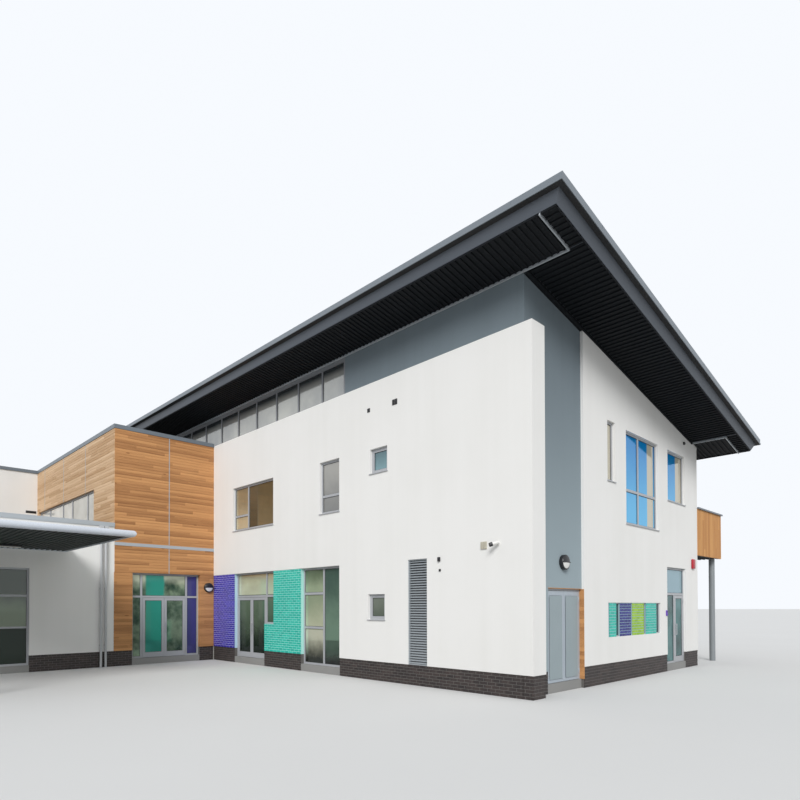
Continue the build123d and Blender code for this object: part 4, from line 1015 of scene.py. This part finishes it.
def gaskets(node, body=BUILDING):
    bm = bmesh.new()
    bm.from_mesh(nodes[node].data)
    bmesh.ops.remove_doubles(bm, verts=bm.verts[:], dist=SAME_PLACE)
    bmesh.ops.dissolve_limit(
        bm, angle_limit=SAME_PLANE, verts=bm.verts[:], edges=bm.edges[:], delimit=set()
    )
    narrow = [f for f in bm.faces if min(e.calc_length() for e in f.edges) < PANE_EDGE]
    bmesh.ops.delete(bm, geom=narrow, context="FACES")
    panes = bm.faces[:]
    bmesh.ops.inset_individual(bm, faces=panes, thickness=GASKET, depth=0)
    bmesh.ops.delete(bm, geom=panes, context="FACES_ONLY")
    bmesh.ops.solidify(bm, geom=bm.faces[:], thickness=-GASKET_THICK)
    bmesh.ops.recalc_face_normals(bm, faces=bm.faces[:])
    name = node.replace("_glass", "_gaskets")
    Piece().add(bm, LEVEL).done(name, [rubber_and_painted_shade], "fitting_plastic", body)


for node in ("window_glass", "screen_glass", "clerestory_glass"):
    gaskets(node)
for leaf in ("class_door_near", "class_door_far", "play_door_near", "play_door_far", "gable_door"):
    gaskets(leaf + "_glass", leaf)

# %% [markdown]
# Glass shows what it mirrors far more than what lies behind it. By day the rooms are dark,
# so each pane is a mirror that lets a little through, and its colour is a painted reflection.
# In the photo every pane mirrors something else, pale or dark or green. The painted reflection
# therefore depends on where the pane is on the building, and goes from one colour at its foot
# to another at its head, with a soft and cloudy border. These are the panes that face the front.

# %% Front glass
CLOUD = 1.1, 4, 0.6
PANE_REFLECTIONS = [
    # where along X, where in height, reflected colour at the foot, reflected colour at the head
    ((-9.75, -8.58), (4.7, 6.4), (0.24, 0.195, 0.11), (0.15, 0.12, 0.065)),
    ((-11.3, -10.32), (4.7, 6.4), (0.70, 0.62, 0.42), (0.34, 0.28, 0.17)),
    ((-10.32, -9.75), (4.7, 6.4), (0.12, 0.10, 0.06), (0.16, 0.13, 0.08)),
    ((-6.1, -5.0), (4.7, 6.5), (0.24, 0.24, 0.23), (0.40, 0.39, 0.36)),
    ((-3.8, -3.0), (5.6, 6.5), (0.22, 0.37, 0.40), (0.11, 0.18, 0.20)),
    ((-3.9, -3.1), (1.6, 2.5), (0.17, 0.20, 0.16), (0.28, 0.31, 0.26)),
    ((-11.3, -8.5), (2.45, 3.3), (0.74, 0.76, 0.56), (0.52, 0.50, 0.34)),
    ((-11.3, -8.5), (0.2, 2.45), (0.02, 0.03, 0.022), (0.16, 0.22, 0.15)),
    ((-7.1, -6.05), (2.45, 3.3), (0.42, 0.50, 0.33), (0.14, 0.19, 0.11)),
    ((-7.1, -6.05), (1.3, 2.45), (0.60, 0.62, 0.44), (0.36, 0.42, 0.28)),
    ((-7.1, -6.05), (0.2, 1.3), (0.02, 0.025, 0.02), (0.66, 0.66, 0.52)),
    ((-6.05, -5.0), (1.0, 3.3), (0.20, 0.31, 0.23), (0.08, 0.14, 0.11)),
    ((-6.05, -5.0), (0.2, 1.0), (0.008, 0.010, 0.010), (0.12, 0.18, 0.14)),
]


def front_reflection(place):
    across, height = place.part("X"), place.part("Z")
    # painted reflection: a cloudy colour, then one for each pane from its foot to its head
    cloud = place.noise(*CLOUD)
    hue = cloud.above(0.5, 0.25).blend(colour(0.15, 0.17, 0.16), colour(0.34, 0.34, 0.31))
    for sides, (foot, head), at_foot, at_head in PANE_REFLECTIONS:
        rise = ((height - foot) / (head - foot) + (cloud - 0.5) * 0.8).above(0.5, 0.4)
        here = across.inside(*sides) * height.inside(foot, head)
        hue = here.blend(hue, rise.blend(colour(*at_foot), colour(*at_head)))
    return hue


def glass(name, hue, alpha, metallic=0.3, rough=0.05, gloss=0.5):
    """The finish of panes whose painted reflection is worked out from the place on them."""
    return finish(name, lambda place: {
        "Base Color": hue(place), "Metallic": metallic, "Roughness": rough, "Alpha": alpha,
        "Specular IOR Level": gloss,
    })


paint(glass("glass_front", front_reflection, 0.93), "class_door_near_glass", "class_door_far_glass")

# %% [markdown]
# The upper panes of the gable are blue mirrors, paler low down, and some have a pale band at
# one side. All of these are painted reflections. The ones round the gable door are dull and
# greenish. The studio has nothing blue or green to mirror, so these reflections are painted in
# by height, and the pale bands by their place along the wall.

# %% Gable glass
PALE_REFLECTION_BANDS = (5.12, 5.55, 0.02), (2.3, 2.9), (7.3, 7.9)
BLUE_FOOT, BLUE_REACH = 4.3, 3
UPPER_STOREY = 4.0
DOOR_FANLIGHT, DOOR_LEAF_TOP = 3.6, 2.4


def gable_reflection(place):
    # painted reflection: blue above, pale bands at the sides, greenish round the door
    height = place.part("Z")
    cloud = place.noise(0.8, 3)
    high = ((height - BLUE_FOOT) / BLUE_REACH + (cloud - 0.5) * 0.3).above(0.5, 0.45)
    hue = high.blend(colour(0.11, 0.50, 0.84), colour(0.0, 0.24, 0.62))
    pale_bands, *others = [place.part("Y").inside(*band) for band in PALE_REFLECTION_BANDS]
    for band in others:
        pale_bands = pale_bands.maths("MAXIMUM", pale_bands, band)
    hue = (pale_bands * height.above(UPPER_STOREY)).blend(hue, colour(0.60, 0.56, 0.45))
    hue = (1 - height.above(DOOR_FANLIGHT)).blend(hue, colour(0.27, 0.41, 0.47))
    green = cloud.above(0.5, 0.2).blend(colour(0.03, 0.07, 0.07), colour(0.10, 0.26, 0.26))
    return (1 - height.above(DOOR_LEAF_TOP)).blend(hue, green)


paint(glass("glass_gable", gable_reflection, 0.95, gloss=0.3), "gable_door_glass")

# %% [markdown]
# The play doors mirror the coloured brick round the corner, between cloudy greens, with a pale
# strip above, and all of it is painted reflection. The brick is painted in as two bands with wavy
# sides, since a mirror in real glass is never quite straight. The long window beside them is
# dark below its lower transom.

# %% Play door glass
TEAL_SEEN = -4.02, -3.36, 0.04
BLUE_SEEN = -2.5, -2.0, 0.04
LONG_WINDOW = -5.0
LOWER_TRANSOM = 1.4
PALE_STRIP, UPPER_PART = 2.9, 2.2


def play_reflection(place):
    height, along = place.part("Z"), place.part("Y")
    # painted reflection: brick, cloudy greens and a pale strip above
    cloud = place.noise(1.6, 4, 0.6)
    wavy = along + (cloud - 0.5) * 0.12
    hue = cloud.above(0.5, 0.2).blend(colour(0.03, 0.07, 0.05), colour(0.30, 0.40, 0.28))
    pale = (height + (cloud - 0.5) * 0.5).above(PALE_STRIP, 0.2)
    hue = pale.blend(hue, colour(0.55, 0.60, 0.46))
    hue = wavy.inside(*TEAL_SEEN).blend(hue, colour(0.05, 0.34, 0.27))
    hue = wavy.inside(*BLUE_SEEN).blend(hue, colour(0.08, 0.08, 0.26))
    upper = (height + (cloud - 0.5) * 0.6).above(UPPER_PART, 0.3)
    long_window = upper.blend(colour(0.19, 0.23, 0.17), colour(0.11, 0.125, 0.11))
    lowest = 1 - height.above(LOWER_TRANSOM)
    long_window = lowest.blend(long_window, colour(0.014, 0.026, 0.018))
    return (1 - along.above(LONG_WINDOW)).blend(hue, long_window)


paint(glass("glass_play", play_reflection, 0.93), "play_door_near_glass", "play_door_far_glass")

# %% [markdown]
# The fixed panes of all walls are one node, and so are those of the screens. Their finish
# picks the painted reflection by the wall that a pane is in. The block's upper window has a
# pale and cloudy painted reflection. The clerestory's is pale too, and dark at its top, a
# painted shadow and reflection of the overhang.

# %% Fixed glass
GABLE_PANES = 1.05
BLOCK_FRONT_PANES = -5.4, -4.9
BLOCK_SIDE_PANES = -13.0, -12.6
CLERESTORY_DARK = 9.06


def any_reflection(place):
    across, along = place.part("X"), place.part("Y")
    # painted reflection, chosen by wall, pale and cloudy on the block's upper window
    hue = across.above(GABLE_PANES).blend(front_reflection(place), gable_reflection(place))
    pale_reflection = place.noise(0.7, 3).above(0.46, 0.3)
    pale_reflection = pale_reflection.blend(colour(0.56, 0.55, 0.50), colour(0.90, 0.90, 0.86))
    hue = along.inside(*BLOCK_FRONT_PANES).blend(hue, pale_reflection)
    return across.inside(*BLOCK_SIDE_PANES).blend(hue, play_reflection(place))


def high_reflection(place):
    cloud = place.noise(0.5, 4)
    hue = cloud.above(0.5, 0.25).blend(colour(0.34, 0.35, 0.35), colour(0.60, 0.60, 0.55))
    # painted shadow and reflection of the overhang along the clerestory's top
    overhang = (place.part("Z") + (cloud - 0.5) * 0.2).above(CLERESTORY_DARK, 0.12)
    return overhang.blend(hue, colour(0.06, 0.07, 0.075))


paint(glass("glass_any", any_reflection, 0.94), "window_glass", "screen_glass")
paint(glass("glass_high", high_reflection, 0.95, 0.4, 0.06), "clerestory_glass")

# %% [markdown]
# A bulkhead lamp is a shallow black drum with a rounded rim. The upper half of its face is a
# domed hood and the lower half a milky lens. The drum is a cone with equal ends, and hood and
# lens are both half of a flattened dome.

# %% Wall lamps
LAMP_RADIUS, DRUM_DEPTH, DRUM_RIM = 0.18, 0.095, 0.02
LAMP_FACE = 0.093
HOOD_RADIUS, HOOD_RISE = 0.16, 0.036
LENS_RADIUS, LENS_RISE = 0.15, 0.024
BROW, BROW_OUT, BROW_EDGE = 0.008, 0.03, 0.004
LAMPS = (GREY_GABLE, 1.71, 2.84), (BLOCK_SIDE, 0.225, 2.54)


def drum(radius, depth, rim, sides=40):
    """A round block on the plane Z = 0, with a softened front rim."""
    bm = bmesh.new()
    bmesh.ops.create_cone(
        bm, cap_ends=True, segments=sides, radius1=radius, radius2=radius, depth=depth
    )
    bmesh.ops.translate(bm, vec=(0, 0, depth / 2), verts=bm.verts[:])
    bevel(bm, front_edges(bm), rim, 3)
    return bm


def half_dome(radius, rise, side):
    """The upper (1) or lower (-1) half of a flattened dome on the plane Z = 0."""
    bm = bmesh.new()
    bmesh.ops.create_uvsphere(bm, u_segments=32, v_segments=16, radius=radius)
    bmesh.ops.scale(bm, vec=(1, 1, rise / radius), verts=bm.verts[:])
    slice_off(bm, (0, 0, 0), (0, 0, -1))
    slice_off(bm, (0, 0, 0), (0, -side, 0))
    return bm


lamp_bodies, lamp_lenses = Piece(), Piece()
for place, along, up in LAMPS:
    here = place @ Matrix.Translation((along, up, 0))
    face = here @ Matrix.Translation((0, 0, LAMP_FACE))
    lamp_bodies.add(drum(LAMP_RADIUS, DRUM_DEPTH, DRUM_RIM), here)
    lamp_bodies.add(half_dome(HOOD_RADIUS, HOOD_RISE, 1), face)
    brow = boxed((-HOOD_RADIUS, -BROW, 0), (HOOD_RADIUS, BROW, BROW_OUT), BROW_EDGE)
    lamp_bodies.add(brow, face)
    lamp_lenses.add(half_dome(LENS_RADIUS, LENS_RISE, -1), face)
lamp_bodies.done(
    "lamp_bodies", [black_plastic], "fitting_plastic", replaces=["wall_lights"], smooth=35
)
lamp_lenses.done("lamp_lenses", [white_plastic], "fitting_plastic", smooth=35)

# %% [markdown]
# The small fittings: vents with slats, sensors with a domed eye, a red sounder and a purple
# call box. Each housing is a bevelled box, and what makes it recognisable is added to its
# front.

# %% Small fittings
SLAT_OUT, SLAT_EDGE = 0.004, 0.002
SLAT_MARGIN, SLAT_SHARE = 0.2, 0.6
dark, beige, sounder, call_box = Piece(), Piece(), Piece(), Piece()
HOUSINGS = [
    # piece, wall, along, up, width, height, depth, and the radius and steps of the edges
    (dark, FRONT, 5.27, 7.26, 0.11, 0.11, 0.014, 0.006, 2),
    (dark, FRONT, 4.18, 7.24, 0.09, 0.15, 0.014, 0.006, 2),
    (dark, FRONT, 4.28, 7.24, 0.09, 0.15, 0.014, 0.006, 2),
    (dark, WING_SIDE, 3.91, 6.17, 0.42, 0.11, 0.014, 0.006, 2),
    (dark, FRONT, 2.67, 2.96, 0.08, 0.11, 0.045, 0.015, 3),
    (dark, GABLE, 9.28, 7.12, 0.09, 0.09, 0.05, 0.015, 3),
    (dark, FRONT, 2.65, 2.69, 0.06, 0.06, 0.02, 0.005, 2),
    (dark, GABLE, 7.75, 1.62, 0.05, 0.04, 0.038, 0.003, 2),
    (beige, FRONT, 1.256, 3.20, 0.082, 0.17, 0.03, 0.006, 2),
    (beige, FRONT, 1.344, 3.20, 0.082, 0.17, 0.03, 0.006, 2),
    (sounder, GABLE, 9.99, 3.20, 0.24, 0.32, 0.07, 0.03, 4),
    (call_box, GABLE, 7.75, 1.58, 0.10, 0.17, 0.034, 0.012, 3),
]
SLATS = [
    # piece, wall, along, up, width, height, the depth of the housing, and how many
    (dark, FRONT, 5.27, 7.26, 0.09, 0.09, 0.014, 4),
    (dark, FRONT, 4.18, 7.24, 0.07, 0.12, 0.014, 5),
    (dark, FRONT, 4.28, 7.24, 0.07, 0.12, 0.014, 5),
    (dark, WING_SIDE, 3.91, 6.17, 0.39, 0.09, 0.014, 3),
    (beige, FRONT, 1.256, 3.20, 0.06, 0.14, 0.03, 6),
    (beige, FRONT, 1.344, 3.20, 0.06, 0.14, 0.03, 6),
    (sounder, GABLE, 9.99, 3.14, 0.16, 0.14, 0.07, 5),
]
EYES = [
    # wall, along, up, the depth of the housing, radius, rise
    (FRONT, 2.67, 2.95, 0.045, 0.03, 0.014),
    (GABLE, 9.28, 7.115, 0.05, 0.035, 0.016),
]


def housing(along, up, width, height, depth, radius, segments):
    """A bevelled box on a wall, centred on a point of it."""
    low, high = (along - width / 2, up - height / 2), (along + width / 2, up + height / 2)
    return boxed((*low, 0), (*high, depth), radius, segments)


def slats(along, up, width, height, depth, count):
    """Level slats in front of a housing, inside its rim."""
    step = height / count
    low = up - height / 2 + step * SLAT_MARGIN
    bm = boxed(
        (along - width / 2, low, depth - SLAT_OUT),
        (along + width / 2, low + step * SLAT_SHARE, depth + SLAT_OUT)
    )
    bevel(bm, front_edges(bm), SLAT_EDGE)
    repeat(bm, (0, step, 0), count)
    return bm


for piece, place, *sizes in HOUSINGS:
    piece.add(housing(*sizes), place)
for piece, place, *sizes in SLATS:
    piece.add(slats(*sizes), place)
for place, along, up, depth, radius, rise in EYES:
    dark.add(half_dome(radius, rise, -1), place @ Matrix.Translation((along, up, depth)))

# %% [markdown]
# The bullet camera is a white barrel with a black hood, held on the wall by a round plate and
# a short stem. The barrel is made on the bench like the lamps' drums and then aimed. The hood
# joins the dark fittings, so these and the others are done only here.

# %% Bullet camera
BARREL_LENGTH, BARREL_RADIUS, HOOD_LENGTH = 0.22, 0.045, 0.07
BARREL_RIM, BARREL_SIDES = 0.008, 28
HOOD_PROUD, HOOD_AHEAD = 0.003, 0.004
PLATE = 0.035, 0.02, 0.006, 24
STEM = 0.014, 0.05, 0.002, 16
BARREL_AT, BRACKET_AT = (0.86, 3.24, 0.05), (0.9, 3.22, 0)
ASIDE, DOWN = math.radians(40), math.radians(18)
turned = Matrix.Rotation(ASIDE, 4, "Y") @ Matrix.Rotation(DOWN, 4, "X")
aim = FRONT @ Matrix.Translation(BARREL_AT) @ turned
to_hood = aim @ Matrix.Translation((0, 0, BARREL_LENGTH - HOOD_LENGTH))
bracket = FRONT @ Matrix.Translation(BRACKET_AT)

bullet = Piece().add(drum(BARREL_RADIUS, BARREL_LENGTH, BARREL_RIM, BARREL_SIDES), aim)
bullet.add(drum(*PLATE), bracket).add(drum(*STEM), bracket)
hood_size = BARREL_RADIUS + HOOD_PROUD, HOOD_LENGTH + HOOD_AHEAD
dark.add(drum(*hood_size, BARREL_RIM, BARREL_SIDES), to_hood)
dark.done(
    "fittings_dark", [black_plastic], "fitting_plastic", replaces=["wall_fittings"], smooth=30
)
beige.done("fittings_beige", [beige_plastic], "fitting_plastic")
bullet.done("camera_body", [white_plastic], "fitting_plastic", smooth=30)
sounder.done("sounder", [red_plastic], "fitting_plastic", smooth=30)
call_box.done("call_box", [purple_plastic], "fitting_plastic", smooth=30)

# %% [markdown]
# The lamp of the canopy is a long black box up against the ribs, with a milky tray under it.
# It is only seen from below and from afar, so two bevelled boxes about one centre are enough.

# %% Canopy lamp
LAMP_AT = -11.44, -8.45
LAMP_HALF = 0.095, 0.28
TRAY_HALF = 0.08, 0.265
LAMP_TOP = CANOPY_UNDER + RIBS_LOW + 0.002
LAMP_FOOT = LAMP_TOP - 0.06
TRAY_TOP, TRAY_FOOT = LAMP_TOP - 0.055, LAMP_TOP - 0.078


def centred_box(half, low, high, round_off, segments):
    """A bevelled box about the lamp's centre, between two heights."""
    (x, y), (half_x, half_y) = LAMP_AT, half
    corners = (x - half_x, y - half_y, low), (x + half_x, y + half_y, high)
    return boxed(*corners, round_off, segments)


canopy_lamp = Piece().add(centred_box(LAMP_HALF, LAMP_FOOT, LAMP_TOP, 0.01, 2), LEVEL)
canopy_lamp.done("canopy_lamp", [black_plastic], "fitting_plastic", smooth=30)
tray = Piece().add(centred_box(TRAY_HALF, TRAY_FOOT, TRAY_TOP, 0.012, 3), LEVEL)
tray.done("canopy_lamp_lens", [white_plastic], "fitting_plastic", smooth=30)

# %% [markdown]
# Two transoms divide the tall panes of the window behind the canopy. They are plain bars of
# the frame's own metal. Being thicker than the panes they stand proud on both sides, so the
# glass needs no cut.

# %% Transoms
TRANSOM_ENDS = 6.2, 9.42
TRANSOM_DEPTHS = -0.14, -0.085
TRANSOM_EDGE = 0.004

transoms = Piece()
for low, high in ((2.13, 2.2), (1.15, 1.21)):
    (left, right), (back, front) = TRANSOM_ENDS, TRANSOM_DEPTHS
    transoms.add(boxed((left, low, back), (right, high, front), TRANSOM_EDGE), BLOCK_SIDE)
transoms.done("low_window_transom", [grey_metal], "grey_metal")

# %% [markdown]
# The service door: a steel sheet is bonded into the shallow recess of each leaf. The doorway
# has a timber lining at its far jamb and a thin timber strip at its head. All of them are thin
# boards of their own, because a change of finish alone would leave no edge to catch the light.

# %% Service door
SHEET_DEPTHS = -0.0485, -0.044
SHEET_FOOT, SHEET_HEAD = 0.084, 2.046
SHEET_EDGE = 0.0015
JAMB = (2.59, 0, -0.13), (2.6, 2.22, -0.002)
HEAD_STRIP = (1.04, 2.212, -0.03), (2.59, 2.2295, -0.001)

for leaf, left, right in (("service_door_near", 1.172, 1.738), ("service_door_far", 1.902, 2.468)):
    low, high = (left, SHEET_FOOT, SHEET_DEPTHS[0]), (right, SHEET_HEAD, SHEET_DEPTHS[1])
    steel = Piece().add(boxed(low, high, SHEET_EDGE), GREY_GABLE)
    steel.done(leaf + "_sheet", [service_panel], "service_grey", leaf)
timber = Piece().add(boxed(*JAMB, 0.002), GABLE).add(boxed(*HEAD_STRIP, 0.001), GREY_GABLE)
timber.done("jamb_lining", [cedar_side], "cedar")

# %% [markdown]
# The studio has a pale floor, a pale backdrop that lights everything softly, and one large sun
# lamp from behind the camera for gentle shadows. Floor and backdrop look paler than they
# light: a Light Path node tells the rays that show them from those that only light the walls.

# %% Floor, light and backdrop
FLOOR_RADIUS, FLOOR_SIDES, FLOOR_GAP = 400, 128, 0.002
LIGHT_STRENGTH = 0.62
SUN_ENERGY, SUN_SIZE = 2.25, math.radians(25)
SUN_TURN = math.radians(58), 0, math.radians(41)


def seen_rays(wave):
    """1 for what the camera sees, directly, in a gloss or through glass."""
    kinds = ("Is Camera Ray", "Is Glossy Ray", "Is Transmission Ray")
    direct, glossy, through = [wave.node("ShaderNodeLightPath", (), (), kind) for kind in kinds]
    return direct.maths("MAXIMUM", direct.maths("MAXIMUM", direct, glossy), through)


def floor_finish(place):
    pale = place.noise(0.2, 2).blend(colour(0.70, 0.70, 0.69), colour(0.73, 0.73, 0.72))
    return {"Base Color": seen_rays(place).blend(colour(0.42, 0.42, 0.41), pale), "Roughness": 0.9}


disc = bmesh.new()
bmesh.ops.create_circle(disc, cap_ends=True, segments=FLOOR_SIDES, radius=FLOOR_RADIUS)
floor_mesh = bpy.data.meshes.new("floor")
disc.to_mesh(floor_mesh)
disc.free()
floor_mesh.materials.append(finish("studio_floor", floor_finish))
floor = bpy.data.objects.new("floor", floor_mesh)
floor.location.z = -FLOOR_GAP
bpy.context.scene.collection.objects.link(floor)

world = bpy.data.worlds.new("studio")
world.use_nodes = True
bpy.context.scene.world = world
background = world.node_tree.nodes["Background"]
background.inputs["Color"].default_value = colour(0.93, 0.96, 1.0)
strength = seen_rays(Wave(world.node_tree, None)) * (1 - LIGHT_STRENGTH) + LIGHT_STRENGTH
world.node_tree.links.new(strength.socket, background.inputs["Strength"])

sun_data = bpy.data.lights.new("sun", "SUN")
sun_data.energy = SUN_ENERGY
sun_data.angle = SUN_SIZE
sun = bpy.data.objects.new("sun", sun_data)
sun.rotation_euler = SUN_TURN
bpy.context.scene.collection.objects.link(sun)
bpy.context.scene.view_settings.view_transform = "Standard"
print("floor radius", FLOOR_RADIUS, "backdrop", LIGHT_STRENGTH, "sun", SUN_ENERGY)
